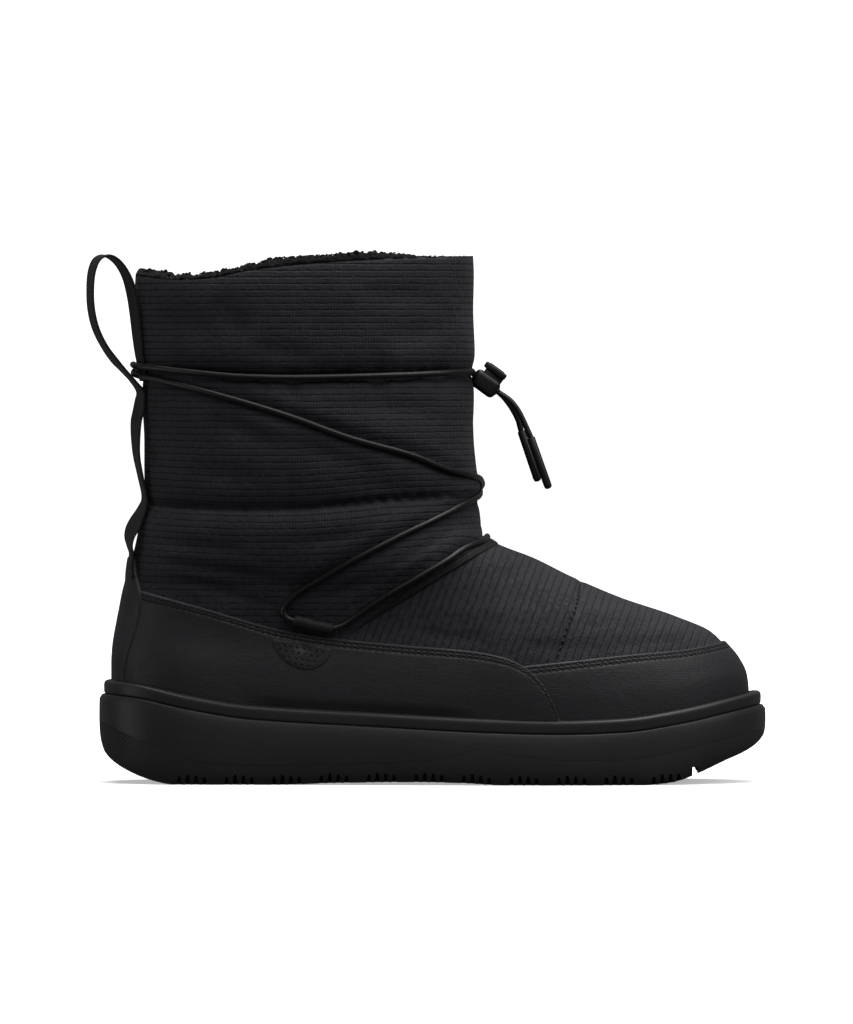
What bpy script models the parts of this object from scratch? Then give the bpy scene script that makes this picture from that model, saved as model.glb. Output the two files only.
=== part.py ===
"""A quilted winter boot for the right foot, built as separate named pieces.

Metres, +Z up. +X points to the toe and -Y to the outer side of the foot. The boot stands on z = 0, and the
origin is under the middle of its box. Sizes and tables are in millimetres, and MM makes them metres.
"""

import math
from collections import namedtuple

import bmesh
import bpy
import numpy as np
from mathutils import Matrix, Vector

MM = 0.001
GAP = 0.3  # clearance between pieces that meet
BEYOND = 80.0  # a cutter's reach to either side, past every piece
SPARE = 6.0  # a cutter's reach past the one surface that it opens
FINE = 60  # samples along each part of a curve before its points are spaced evenly

# Sole: its two ends, the roundness of heel and toe seen from above, and the cup that holds the upper
SOLE_BACK = -137.3
SOLE_FRONT = 142.8
HEEL_ROUND = 44.0
TOE_ROUND = 67.0
HEEL_SQUARE = 2.2  # 2 is an ellipse, and a larger number is squarer
TOE_SQUARE = 2.4
BEAD_HEIGHT = 6.0
CUP_DEPTH = 4.3
BOTTOM_INSET = 4.8
END_LENGTH = 30.0  # near its two ends the sole's wall stands steeper
END_STEEPER = 0.8
INSOLE_THICKNESS = 3.0
INSOLE_CLEARANCE = 1.5
OUTSOLE_SHARES = (0.12, 0.52, 1.0)  # rings of the outsole's wall, from its underside to the parting line
MIDSOLE_SHARES = (0.0, 0.35, 0.7)  # rings of the midsole's wall, from the parting line to the groove

# Tread: comb-like groups of notches along both edges and plain channels across the middle
LUG_START = -103.0
LUG_PITCH = 19.8
LUG_GROUPS = 11
NOTCHES = 4
NOTCH_PITCH = 3.5
NOTCH_WIDTH = 1.4
NOTCH_REACH = 9.0
NOTCH_HEIGHT = 4.2
CHANNEL_WIDTH = 3.0
CHANNEL_DEPTH = 2.6
CHANNEL_MARGIN = 17.0
TOE_NOTCH = 112.4
TOE_NOTCH_WIDTH = 2.4
TOE_NOTCH_HEIGHT = 3.2

# Upper: wall, the bead's overhang beside it, and the two quilting seams
WALL = 3.5
RAND = 5.5
FEATHER_MEAN = 30.0
COLLAR = 218.0
COLLAR_FADE = 40.0
SEAM_DEPTH = 1.3
SEAM_WIDTH = 1.9
RING_STEP = 10.0  # distance between the upper's rings along its front line
INNER_RING_STEP = 34.0
AROUND = 40  # points in each ring of the upper
SOLE_AROUND = 48  # points in each ring of the sole
SHAFT_AXIS = -50.0  # x of the upright line that the lace winds about
LACED_HEIGHTS = (56.0, 206.0)  # the part of the upper that the lace and the tape lie on
SURFACE_STEP = 2.0
SURFACE_ANGLES = 181

# Overlays: thickness off the upper, and the raised hem where the shaft meets the vamp
GUARD = 1.3
GUARD_CLEARANCE = 0.4
GUARD_SPLIT = 7.0  # the two guards part under the heel stay
STAY = 1.8
STAY_FRONT = -100.0  # the outline of the back strip is cut through everything behind this
STAY_POINTS = 16
HEM = 1.3
HEM_CLEARANCE = 0.8  # over the hollow of the instep, where flat facets stand proud
HEM_HALF_WIDTH = 1.4
HEM_SLANT = 1.2  # an upright width on the slanting hem, against its square width
HEM_FADE = 12.0  # the quilting swells out over this distance above the hem
OVERLAY_BASE = 30.2
OVERLAY_TOP = 122.0
OUTLINE_FLOOR = 10.0  # the overlays' outlines reach below their bands
EDGE_POINTS = 2  # points along an overlay's edge for each row of its table

# Cord, keepers, tape and toggle
CORD = 2.8
CORD_OFF = 1.9  # from the upper to the cord's middle
CORD_STEP = 11.4
CORD_TURN = 0.1  # finer step of the lace about the shaft, in radians
KEEPER_WALL = 0.8
KEEPER_STEP = 4.0
KEEPER_CEILING = 71.0  # the strands above this pass over the keeper
ROUTE_STEP = 1.0
LOCK_LEAD = 0.4  # the lace turns to the shaft this far behind the lock
TIP = 3.4
TIP_SIDES = 8
TIP_SHOULDER = 0.6
TIP_NOSE = 1.2
TAPE_WIDTH = 15.0
TAPE_THICKNESS = 1.1
TAPE_TURN = 8.0  # the tape lies this far round the shaft from its back, towards the outer side
TAPE_STEP = 5.0
TOGGLE_CENTRE = (25.3, 0.0, 167.4)
TOGGLE_TILT = 36.0  # degrees that the cord runs downwards through the lock
TOGGLE_SIZE = (11.3, 11.0, 7.4)
TOGGLE_ROUNDING = 2.6
BUTTON_CAP = (10.3, 9.0, 2.0)
BUTTON_ROUNDING = 0.9
BUTTON_STEM = (5.4, 6.0, 4.8)
BUTTON_OUT = 1.6
STEM_OVERLAP = 1.0  # the stem's hold inside the cap
SOCKET_DEPTH = 5.4
HOLE_SPACING = 2.4  # each cord's distance from the lock's middle

Plan = namedtuple("Plan", "x centre half")
SOLE_PLAN = [
    Plan(-137, 0.0, 41.0),
    Plan(-95, 0.0, 42.5),
    Plan(-55, -1.0, 43.0),
    Plan(-15, -2.0, 45.6),
    Plan(25, -1.8, 50.6),
    Plan(62, 0.0, 53.9),
    Plan(95, 2.6, 52.0),
    Plan(143, 7.0, 45.0),
]

Height = namedtuple("Height", "x z")
FEATHER_LINE = [
    Height(-134, 43.4), Height(-121, 42.0), Height(-100, 37.6), Height(-74, 33.5), Height(-20, 30.3),
    Height(25, 28.0), Height(56, 27.3), Height(82, 28.1), Height(107, 31.7), Height(124, 35.3),
    Height(140, 38.8),
]
PARTING_LINE = [  # wavy line between midsole and outsole
    Height(-135, 25.2), Height(-112, 15.5), Height(-91, 9.0), Height(-66, 8.2), Height(-40, 8.8),
    Height(-3, 10.1),
    Height(10, 11.8), Height(22, 15.2), Height(39, 12.2), Height(58, 10.6), Height(80, 10.6),
    Height(110, 15.5),
    Height(137, 21.8),
]
GROUND_LINE = [  # underside: heel bevel, slight arch and toe spring
    Height(-137.3, 20.0), Height(-135, 13.5), Height(-131.9, 10.0), Height(-126.4, 6.4),
    Height(-119.3, 3.2),
    Height(-112, 1.0), Height(-105.8, 0.0), Height(-60, 0.0), Height(-40, 0.7), Height(-5, 1.2),
    Height(14, 0.9),
    Height(32, 0.0), Height(92, 0.0), Height(103, 1.0), Height(113, 4.4), Height(124.7, 9.6),
    Height(133.6, 13.4),
    Height(139, 16.8), Height(142.8, 21.0),
]
COLLAR_LINE = [
    Height(-122, 212.5), Height(-104, 210.5), Height(-90, 211.2), Height(-75, 214.2), Height(-55, 216.6),
    Height(-20, 219.0), Height(20, 220.5),
]
GUARD_EDGE = [
    Height(-150, 88.5), Height(-122.6, 81.5), Height(-94.9, 74.3), Height(-61.3, 64.9), Height(-38.6, 61.2),
    Height(-10.9, 58.4), Height(18.5, 55.9), Height(31.1, 53.6), Height(39.5, 50.2), Height(46.2, 45.0),
    Height(51.2, 38.0), Height(56.3, 26.0),
]
TOE_EDGE = [
    Height(34, 49.0), Height(64.7, 52.1), Height(85.7, 54.2), Height(106.7, 55.8), Height(127.7, 59.4),
    Height(150, 66.0),
]
HEM_LINE = [
    Height(-31.4, 63.2), Height(-10.9, 77.4), Height(5.9, 88.2), Height(24.0, 98.6), Height(42.0, 108.0),
]

Side = namedtuple("Side", "share inset")
SIDE_SHAPE = [  # the sole's wall, from its underside (0) to the groove (1)
    Side(0.0, 4.0), Side(0.06, 2.4), Side(0.18, 1.0), Side(0.4, 0.1), Side(0.55, 0.0), Side(0.8, 0.8),
    Side(1.0, 1.9),
]

Bead = namedtuple("Bead", "above inset")
BEAD_SHAPE = [  # the rounded bead, by height above the groove
    Bead(-0.7, 1.9), Bead(0.0, 3.3), Bead(0.9, 2.5), Bead(2.9, 2.1), Bead(4.9, 2.7), Bead(5.9, 4.2),
]

Level = namedtuple("Level", "height slope back front back_round front_round foot spread shaft")
UPPER_LEVELS = [  # each row is a level ring: slope follows the feather line, and foot follows the sole's plan
    Level(26, 1.00, -129.9, 134.0, 42, 78, 1.00, 0.985, 46.0),
    Level(30, 1.00, -130.2, 134.3, 42, 80, 1.00, 1.000, 46.0),
    Level(38, 0.90, -130.2, 133.6, 43, 84, 1.00, 1.005, 46.0),
    Level(46, 0.75, -129.9, 130.7, 44, 88, 1.00, 0.995, 46.0),
    Level(54, 0.55, -129.2, 125.8, 46, 92, 1.00, 0.970, 46.0),
    Level(62, 0.35, -128.2, 119.2, 48, 100, 0.95, 0.940, 46.0),
    Level(70, 0.20, -127.0, 103.4, 52, 107, 0.85, 0.920, 46.5),
    Level(78, 0.10, -125.7, 81.0, 56, 110, 0.72, 0.920, 47.0),
    Level(86, 0.00, -124.0, 61.8, 60, 107, 0.55, 0.930, 47.5),
    Level(94, 0.00, -122.2, 45.6, 64, 99, 0.35, 0.950, 48.0),
    Level(101, 0.00, -120.6, 28.6, 66, 82, 0.18, 0.970, 48.2),
    Level(108, 0.00, -119.2, 21.2, 67, 72, 0.06, 1.000, 48.4),
    Level(117, 0.00, -117.6, 20.6, 68, 69, 0.00, 1.000, 48.6),
    Level(143, 0.00, -116.8, 18.0, 67, 67, 0.00, 1.000, 49.4),
    Level(170, 0.00, -118.6, 18.4, 68, 68, 0.00, 1.000, 50.4),
    Level(195, 0.00, -120.0, 18.4, 69, 69, 0.00, 1.000, 51.4),
    Level(218, 0.00, -122.0, 19.8, 70, 71, 0.00, 1.000, 52.6),
]

Baffle = namedtuple("Baffle", "bottom top swell")
BAFFLES = [Baffle(84, 117, 1.2), Baffle(117, 170, 1.5), Baffle(170, 218, 1.3)]

StayWidth = namedtuple("StayWidth", "z half")
STAY_WIDTHS = [
    StayWidth(20, 19.0), StayWidth(43, 19.5), StayWidth(62, 22.0), StayWidth(76, 22.5), StayWidth(86, 19.0),
    StayWidth(93, 15.5), StayWidth(95, 13.0),
]

Stop = namedtuple("Stop", "x z lift")  # on one side of the upper; an x past it is its front or back middle
AHEAD = 200.0
BEHIND = -200.0
OVER_CORD = CORD + GAP
TOP_RUN = [
    Stop(17.0, 172.8, 0.5), Stop(8.0, 172.2, 0.0), Stop(-11.0, 171.4, 0.0), Stop(-53.0, 170.2, 0.0),
    Stop(-78.0, 170.9, 0.0), Stop(-95.0, 172.4, 0.0),
]
HIGH_DIAGONAL = [
    Stop(-95.0, 165.2, 0.0), Stop(-74.0, 159.4, 0.0), Stop(-53.0, 152.7, 0.0), Stop(-32.0, 145.0, 0.0),
    Stop(-7.6, 138.0, 0.0), Stop(10.0, 130.8, 0.0),
]
LOW_DIAGONAL = [
    Stop(17.4, 118.6, 0.0), Stop(5.9, 112.4, 0.0), Stop(-10.9, 104.2, 0.0), Stop(-27.7, 95.8, 0.0),
    Stop(-44.5, 86.5, 0.0), Stop(-52.9, 81.4, 0.0), Stop(-57.4, 77.2, 0.2), Stop(-59.4, 73.4, 0.7),
]
KEEPER_RUN = [
    Stop(-58.0, 70.2, 1.1), Stop(-53.0, 68.5, 1.2), Stop(-46.0, 66.6, 1.2), Stop(-40.0, 65.4, 1.2),
    Stop(-35.0, 66.6, 0.9),
]
KEEPER_START = -56.0
KEEPER_END = -38.5
INSTEP_RUN = [
    Stop(-27.7, 71.8, 0.2), Stop(-10.9, 82.6, 0.0), Stop(5.9, 92.8, 0.2), Stop(18.6, 101.0, 0.7),
]
INSTEP_TOP = [Stop(AHEAD, 104.0, 0.9)]
BACK_LOW_OUTER = [
    Stop(-106.0, 173.4, 0.4), Stop(-113.0, 173.6, 1.7), Stop(-116.0, 173.6, 2.6), Stop(-117.9, 173.6, 2.5),
]
BACK_LOW = [Stop(BEHIND, 173.6, 1.4)]
BACK_LOW_INNER = [Stop(-117.9, 173.0, 0.5), Stop(-113.0, 170.8, 0.0), Stop(-106.0, 167.8, 0.0)]
BACK_HIGH_OUTER = [
    Stop(-106.0, 169.4, 0.7), Stop(-113.4, 174.0, OVER_CORD + 0.4), Stop(-117.9, 177.0, 2.8),
]
BACK_HIGH = [Stop(BEHIND, 177.6, 1.6)]
BACK_HIGH_INNER = [Stop(-117.9, 177.0, 0.6), Stop(-113.0, 176.0, 0.1), Stop(-106.0, 174.4, 0.0)]
FRONT_UNDER = [Stop(17.4, 126.0, 0.0), Stop(AHEAD, 121.6, 0.0)]
FRONT_OVER = [Stop(17.4, 122.6, OVER_CORD), Stop(AHEAD, 126.6, 0.6)]

TapeStop = namedtuple("TapeStop", "x z off twist")  # off is given where the tape lies on the shaft's back
TAPE_ROUTE = [
    TapeStop(None, 168.4, 0.0, 0), TapeStop(None, 174.0, 0.0, 2), TapeStop(None, 181.0, 0.1, 5),
    TapeStop(None, 188.0, 0.3, 7), TapeStop(None, 197.0, 0.7, 8), TapeStop(None, 205.0, 1.4, 9),
    TapeStop(-126.4, 212.6, None, 10), TapeStop(-130.2, 218.4, None, 12), TapeStop(-134.6, 221.0, None, 12),
    TapeStop(-138.6, 219.6, None, 12), TapeStop(-140.9, 214.4, None, 10), TapeStop(-141.6, 206.4, None, 8),
    TapeStop(-141.1, 198.0, None, 8), TapeStop(-139.1, 190.0, None, 8), TapeStop(-135.6, 183.0, None, 7),
    TapeStop(-131.3, 177.0, None, 5), TapeStop(-127.6, 172.9, None, 2), TapeStop(-123.7, 168.6, None, 1),
    TapeStop(None, 164.0, 0.7, 5), TapeStop(None, 160.4, 0.9, 8), TapeStop(None, 156.0, 1.7, 10),
    TapeStop(None, 151.5, 2.9, 9), TapeStop(None, 145.0, 3.4, 6), TapeStop(None, 137.0, 3.0, 2),
    TapeStop(None, 129.0, 1.5, 0), TapeStop(None, 120.0, 0.1, 0), TapeStop(None, 115.6, 0.8, 6),
    TapeStop(None, 111.0, 1.7, 13), TapeStop(None, 107.0, 2.4, 16), TapeStop(None, 103.0, 3.1, 8),
    TapeStop(None, 99.2, 2.3, 0), TapeStop(None, 95.9, 0.9, -2),
]


FREE_END_OUTER = [(35.3, 160.2), (38.5, 156.2), (40.8, 151.8), (42.7, 147.6), (43.9, 144.9)]
FREE_END_INNER = [(33.7, 160.4), (36.6, 156.2), (38.7, 152.0), (39.9, 147.6)]
TIP_END_OUTER = (51.6, 123.2)
TIP_END_INNER = (47.1, 126.2)

Finish = namedtuple("Finish", "colour roughness")
FINISHES = {
    "rubber": Finish((0.008, 0.008, 0.009), 0.55),
    "foam": Finish((0.009, 0.009, 0.010), 0.5),
    "footbed": Finish((0.012, 0.012, 0.013), 0.95),
    "quilted_cloth": Finish((0.011, 0.011, 0.013), 0.7),
    "guard_leather": Finish((0.008, 0.008, 0.009), 0.6),
    "webbing": Finish((0.010, 0.010, 0.011), 0.8),
    "cord": Finish((0.006, 0.006, 0.007), 0.65),
    "lock_plastic": Finish((0.005, 0.005, 0.006), 0.3),
}


def curve_through(rows, column):
    """A smooth function through one column of a table, without overshoot and level past its ends."""
    at = np.array([row[0] for row in rows], float)
    value = np.array([getattr(row, column) for row in rows], float)
    step = np.diff(at)
    slope = np.diff(value) / step
    tangent = np.zeros(len(at))
    tangent[0], tangent[-1] = slope[0], slope[-1]
    for i in range(1, len(at) - 1):
        if slope[i - 1] * slope[i] > 0:
            tangent[i] = 2 * slope[i - 1] * slope[i] / (slope[i - 1] + slope[i])

    def read(x):
        x = np.clip(x, at[0], at[-1])
        i = np.clip(np.searchsorted(at, x) - 1, 0, len(step) - 1)
        t = (x - at[i]) / step[i]
        left = value[i] * (1 + 2 * t) + step[i] * tangent[i] * t
        right = value[i + 1] * (3 - 2 * t) + step[i] * tangent[i + 1] * (t - 1)
        return left * (1 - t) ** 2 + right * t ** 2

    return read


sole_centre = curve_through(SOLE_PLAN, "centre")
sole_half = curve_through(SOLE_PLAN, "half")
feather = curve_through(FEATHER_LINE, "z")
parting = curve_through(PARTING_LINE, "z")
ground = curve_through(GROUND_LINE, "z")
collar = curve_through(COLLAR_LINE, "z")
guard_edge = curve_through(GUARD_EDGE, "z")
toe_edge = curve_through(TOE_EDGE, "z")
hem_line = curve_through(HEM_LINE, "z")
side_inset = curve_through(SIDE_SHAPE, "inset")
level = {name: curve_through(UPPER_LEVELS, name) for name in Level._fields}


def groove(x):
    """Height of the groove under the bead."""
    return feather(x) - BEAD_HEIGHT


def plan_loop(back, front, back_round, front_round, centre, half, count):
    """An outline from above: front tip, outer side, back tip, inner side, evenly spaced along each side."""
    turn = np.linspace(0, math.pi / 2, FINE)
    toe_x = front - front_round * (1 - np.cos(turn) ** (2 / TOE_SQUARE))
    heel_x = back + back_round * (1 - np.cos(turn[::-1]) ** (2 / HEEL_SQUARE))
    middle_x = np.linspace(toe_x[-1], heel_x[0], FINE)[1:-1]
    x = np.concatenate([toe_x, middle_x, heel_x])
    reach = np.concatenate([
        np.sin(turn) ** (2 / TOE_SQUARE), np.ones(len(middle_x)), np.sin(turn[::-1]) ** (2 / HEEL_SQUARE),
    ])
    sides = []
    for sign in (-1, 1):
        y = centre(x) + sign * half(x) * reach
        run = np.concatenate([[0], np.cumsum(np.hypot(np.diff(x), np.diff(y)))])
        even = np.linspace(0, run[-1], count // 2 + 1)
        sides.append(np.column_stack([np.interp(even, run, x), np.interp(even, run, y)]))
    outer, inner = sides
    return np.vstack([outer, inner[-2:0:-1]])


def upper_ring(height, count=AROUND):
    """One ring of the upper's smooth outer form, before the quilting swells it."""
    row = {name: float(read(height)) for name, read in level.items()}
    foot = row["foot"]

    def centre(x):
        return foot * sole_centre(x)

    def half(x):
        return foot * (sole_half(x) - RAND) * row["spread"] + (1 - foot) * row["shaft"]

    plan = plan_loop(row["back"], row["front"], row["back_round"], row["front_round"], centre, half, count)
    x = plan[:, 0]
    rise = np.clip((height - COLLAR + COLLAR_FADE) / COLLAR_FADE, 0, 1) ** 2
    z = height + row["slope"] * (feather(x) - FEATHER_MEAN) + rise * (collar(x) - COLLAR)
    return np.column_stack([plan, z])


def puff(height, ring, seam_depth):
    """How far the quilting stands out of the smooth form, for each point of a ring."""
    swell = 0.0
    for baffle in BAFFLES:
        share = np.clip((height - baffle.bottom) / (baffle.top - baffle.bottom), 0, 1)
        swell += baffle.swell * (1 - abs(2 * share - 1) ** 3)
    for baffle in BAFFLES[:-1]:
        swell -= seam_depth * math.exp(-((height - baffle.top) / SEAM_WIDTH) ** 2)
    above_hem = np.clip((ring[:, 2] - hem_line(ring[:, 0])) / HEM_FADE, 0, 1)
    return swell * above_hem


def upper_form(heights, count=AROUND, seam_depth=SEAM_DEPTH):
    """The upper's rings at these heights, their outward directions and their quilting."""
    rings = np.array([upper_ring(height, count) for height in heights])
    along = np.roll(rings, -1, axis=1) - np.roll(rings, 1, axis=1)
    upward = np.gradient(rings, axis=0)
    outward = np.cross(upward, along)
    outward /= np.linalg.norm(outward, axis=2, keepdims=True)
    swell = np.array([puff(height, ring, seam_depth) for height, ring in zip(heights, rings)])
    return rings, outward, swell[:, :, None]


def ring_heights(step, seams):
    """Heights that divide the upper's front line evenly, with extra rings at these seams."""
    fine = np.linspace(UPPER_LEVELS[0].height, COLLAR, 6 * FINE)
    run = np.concatenate([[0], np.cumsum(np.hypot(np.diff(level["front"](fine)), np.diff(fine)))])
    heights = np.interp(np.linspace(0, run[-1], int(run[-1] / step) + 1), run, fine)
    clear = [h for h in heights if all(abs(h - seam) > 3 * SEAM_WIDTH for seam in seams)]
    for seam in seams:
        clear += [seam - 2 * SEAM_WIDTH, seam, seam + 2 * SEAM_WIDTH]
    return sorted(clear)


def upper_heights():
    """Heights of the upper's outer rings, which its overlays share so that their facets lie parallel."""
    return ring_heights(RING_STEP, [baffle.top for baffle in BAFFLES[:-1]])


def material(name):
    """The Principled material for one finish."""
    made = bpy.data.materials.get(name)
    if made is None:
        made = bpy.data.materials.new(name)
        made.use_nodes = True
        shader = made.node_tree.nodes["Principled BSDF"]
        shader.inputs["Base Color"].default_value = (*FINISHES[name].colour, 1)
        shader.inputs["Roughness"].default_value = FINISHES[name].roughness
    return made


def add_object(name, data, finish, collection="winter_boot"):
    """An object in its collection, with its material."""
    made = bpy.data.objects.new(name, data)
    bpy.data.collections[collection].objects.link(made)
    if finish:
        data.materials.append(material(finish))
    return made


def add_mesh(name, bm, finish, collection="winter_boot", origin=(0.0, 0.0, 0.0)):
    """A mesh object from a bmesh in millimetres, faces outwards and smooth between its sharp edges."""
    bmesh.ops.recalc_face_normals(bm, faces=bm.faces)
    bmesh.ops.translate(bm, vec=-Vector(origin), verts=bm.verts)
    bmesh.ops.scale(bm, vec=(MM, MM, MM), verts=bm.verts)
    mesh = bpy.data.meshes.new(name)
    bm.to_mesh(mesh)
    bm.free()
    mesh.shade_smooth()
    mesh.set_sharp_from_angle(angle=math.radians(40))
    made = add_object(name, mesh, finish, collection)
    made.location = Vector(origin) * MM
    return made


def add_cutter(name, bm):
    """A cutter or guide form, kept out of the model."""
    made = add_mesh(name, bm, None, "cutters")
    made.hide_render = True
    made.display_type = "WIRE"
    return made


def boolean(target, cutter, operation, solver="EXACT"):
    """One live Boolean of a piece with a cutter."""
    modifier = target.modifiers.new(cutter.name, "BOOLEAN")
    modifier.operation = operation
    modifier.solver = solver
    modifier.object = cutter


def loft(rings, closed):
    """A skin through rings of equally many points: closed end to end, or capped across from side to side."""
    bm = bmesh.new()
    rows = [[bm.verts.new(point) for point in ring] for ring in rings]
    count = len(rows[0])
    for lower, upper in zip(rows, rows[1:] + (rows[:1] if closed else [])):
        for i in range(count):
            j = (i + 1) % count
            bm.faces.new((lower[i], lower[j], upper[j], upper[i]))
    if not closed:
        for row in (rows[0], rows[-1]):
            for i in range(count // 2):
                corners = (row[i], row[i + 1], row[count - i - 1], row[(count - i) % count])
                bm.faces.new(tuple(dict.fromkeys(corners)))
    return bm


def outline_prism(points, start, end, axis):
    """A flat outline, given by two coordinates, drawn out along the third axis."""
    bm = bmesh.new()
    corners = [np.insert(np.array(point, float), axis, start) for point in points]
    face = bm.faces.new([bm.verts.new(corner) for corner in corners])
    grown = bmesh.ops.extrude_face_region(bm, geom=[face])["geom"]
    shift = Vector((0, 0, 0))
    shift[axis] = end - start
    bmesh.ops.translate(bm, vec=shift, verts=[v for v in grown if isinstance(v, bmesh.types.BMVert)])
    return bm


def sole_outline():
    """The sole's outline from above with the directions that point inwards."""
    plan = plan_loop(SOLE_BACK, SOLE_FRONT, HEEL_ROUND, TOE_ROUND, sole_centre, sole_half, SOLE_AROUND)
    along = np.roll(plan, -1, axis=0) - np.roll(plan, 1, axis=0)
    inward = np.column_stack([along[:, 1], -along[:, 0]])
    return plan, inward / np.linalg.norm(inward, axis=1, keepdims=True)


def sole_ring(inset, height):
    """A ring of the sole, moved in from the outline by inset and raised to height, both functions of x."""
    plan, inward = sole_outline()
    moved = plan + inward * np.broadcast_to(inset(plan[:, 0]), len(plan))[:, None]
    return np.column_stack([moved, height(moved[:, 0])])


def side_share(x):
    """Where the parting line lies on the sole's side, from its underside (0) to the groove (1)."""
    return (parting(x) - ground(x)) / (groove(x) - ground(x))


def box(bm, low, high):
    """A box in a joined mesh, by its two extreme corners."""
    size = Vector(high) - Vector(low)
    place = Matrix.Translation(Vector(low) + size / 2) @ Matrix.Diagonal((*size, 1))
    bmesh.ops.create_cube(bm, size=1, matrix=place)


def tread_cutter():
    """The notches along both edges, the step at the toe and the channels across the middle."""
    bm = bmesh.new()
    for group in range(LUG_GROUPS):
        start = LUG_START + LUG_PITCH * group
        for notch in range(NOTCHES):
            x = start + NOTCH_PITCH * notch
            for sign in (-1, 1):
                edge = sole_centre(x) + sign * sole_half(x) * end_reach(x)
                near, far = sorted((edge - sign * NOTCH_REACH, edge + sign * SPARE))
                low = (x - NOTCH_WIDTH / 2, near, ground(x) - SPARE)
                box(bm, low, (x + NOTCH_WIDTH / 2, far, ground(x) + NOTCH_HEIGHT))
        if group > 0:
            x = start - (LUG_PITCH - NOTCH_PITCH * (NOTCHES - 1)) / 2
            reach = sole_half(x) * end_reach(x) - CHANNEL_MARGIN
            low = (x - CHANNEL_WIDTH / 2, sole_centre(x) - reach, ground(x) - SPARE)
            box(bm, low, (x + CHANNEL_WIDTH / 2, sole_centre(x) + reach, ground(x) + CHANNEL_DEPTH))
    floor = ground(TOE_NOTCH)
    low = (TOE_NOTCH - TOE_NOTCH_WIDTH / 2, -BEYOND, floor - SPARE)
    box(bm, low, (TOE_NOTCH + TOE_NOTCH_WIDTH / 2, BEYOND, floor + TOE_NOTCH_HEIGHT))
    return add_cutter("tread_cutter", bm)


def end_keep(x):
    """The share of the wall's insets that is left towards the sole's steeper ends."""
    toe = np.clip(1 - (SOLE_FRONT - x) / END_LENGTH, 0, 1)
    heel = np.clip(1 - (x - SOLE_BACK) / END_LENGTH, 0, 1)
    return 1 - END_STEEPER * np.maximum(toe, heel) ** 2


def end_reach(x):
    """How far the sole's rounded ends bring its sides in at x."""
    toe = np.clip(1 - (SOLE_FRONT - x) / TOE_ROUND, 0, 1)
    heel = np.clip(1 - (x - SOLE_BACK) / HEEL_ROUND, 0, 1)
    return (1 - toe ** TOE_SQUARE) ** (1 / TOE_SQUARE) * (1 - heel ** HEEL_SQUARE) ** (1 / HEEL_SQUARE)


def build_outsole():
    """The tread shell under the wavy line."""
    rings = [sole_ring(lambda x: BOTTOM_INSET * end_keep(x), ground)]
    for share in OUTSOLE_SHARES:
        def height(x, share=share):
            return ground(x) + share * (parting(x) - GAP / 2 - ground(x))

        def inset(x, share=share):
            return end_keep(x) * side_inset(share * side_share(x))

        rings.append(sole_ring(inset, height))
    outsole = add_mesh("outsole", loft(rings, closed=False), "rubber")
    boolean(outsole, tread_cutter(), "DIFFERENCE")


def build_midsole():
    """The cup unit: side wall above the wavy line, groove, rounded bead, and the cup for the upper."""
    rings = []
    for share in MIDSOLE_SHARES:
        def height(x, share=share):
            low = parting(x) + GAP / 2
            return low + share * (groove(x) - low)

        def inset(x, share=share):
            return end_keep(x) * side_inset(side_share(x) + share * (1 - side_share(x)))

        rings.append(sole_ring(inset, height))
    for above, inset in BEAD_SHAPE:
        rings.append(sole_ring(lambda x, inset=inset: inset, lambda x, above=above: groove(x) + above))
    wall, outward = cup_wall(SOLE_AROUND)
    rim = wall + outward * GAP
    rings.append(np.column_stack([rim, feather(rim[:, 0]) - GAP]))
    rings.append(np.column_stack([rim, feather(rim[:, 0]) - CUP_DEPTH]))
    add_mesh("midsole", loft(rings, closed=False), "foam")


def cup_wall(count):
    """The upper's outline at the bead, from above, with its outward directions."""
    wall = upper_ring(FEATHER_MEAN, count)[:, :2]
    along = np.roll(wall, -1, axis=0) - np.roll(wall, 1, axis=0)
    outward = np.column_stack([-along[:, 1], along[:, 0]])
    return wall, outward / np.linalg.norm(outward, axis=1, keepdims=True)


def build_insole():
    """The footbed that lies in the cup, inside the upper's wall."""
    wall, outward = cup_wall(AROUND)
    plan = wall - outward * (WALL + INSOLE_CLEARANCE)
    low = feather(plan[:, 0]) - CUP_DEPTH + GAP
    rings = [np.column_stack([plan, low + rise]) for rise in (0, INSOLE_THICKNESS)]
    add_mesh("insole", loft(rings, closed=False), "footbed")


def build_upper():
    """The hollow quilted shell: outer rings up to the collar, inner rings back down."""
    rings, outward, swell = upper_form(upper_heights())
    outer = rings + outward * swell
    rings, outward, swell = upper_form(ring_heights(INNER_RING_STEP, []))
    inner = rings - outward * WALL
    inner[:, :, 2] = np.maximum(inner[:, :, 2], rings[0][:, 2])
    inner[0, :, 2] = rings[0][:, 2]
    inner[-1, :, 2] = rings[-1][:, 2]
    add_mesh("upper", loft(list(outer) + list(inner[::-1]), closed=True), "quilted_cloth")


def overlay_band(thickness, clearance):
    """A closed skin of this thickness all round the foot, clear of the upper's outer wall."""
    shared = [height for height in upper_heights() if OVERLAY_BASE + SEAM_WIDTH < height < OVERLAY_TOP]
    heights = [OVERLAY_BASE] + shared
    rings, outward, swell = upper_form(heights)
    near = rings + outward * (swell + clearance)
    far = rings + outward * (swell + clearance + thickness)
    return loft(list(far) + list(near[::-1]), closed=True)


def edge_points(edge, rows, shift=0.0):
    """Points along an edge line, evenly between the rows of its table, moved up by shift."""
    places = [np.linspace(a.x, b.x, EDGE_POINTS, endpoint=False) for a, b in zip(rows, rows[1:])]
    return [(x, float(edge(x)) + shift) for x in np.append(places, rows[-1].x)]


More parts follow.
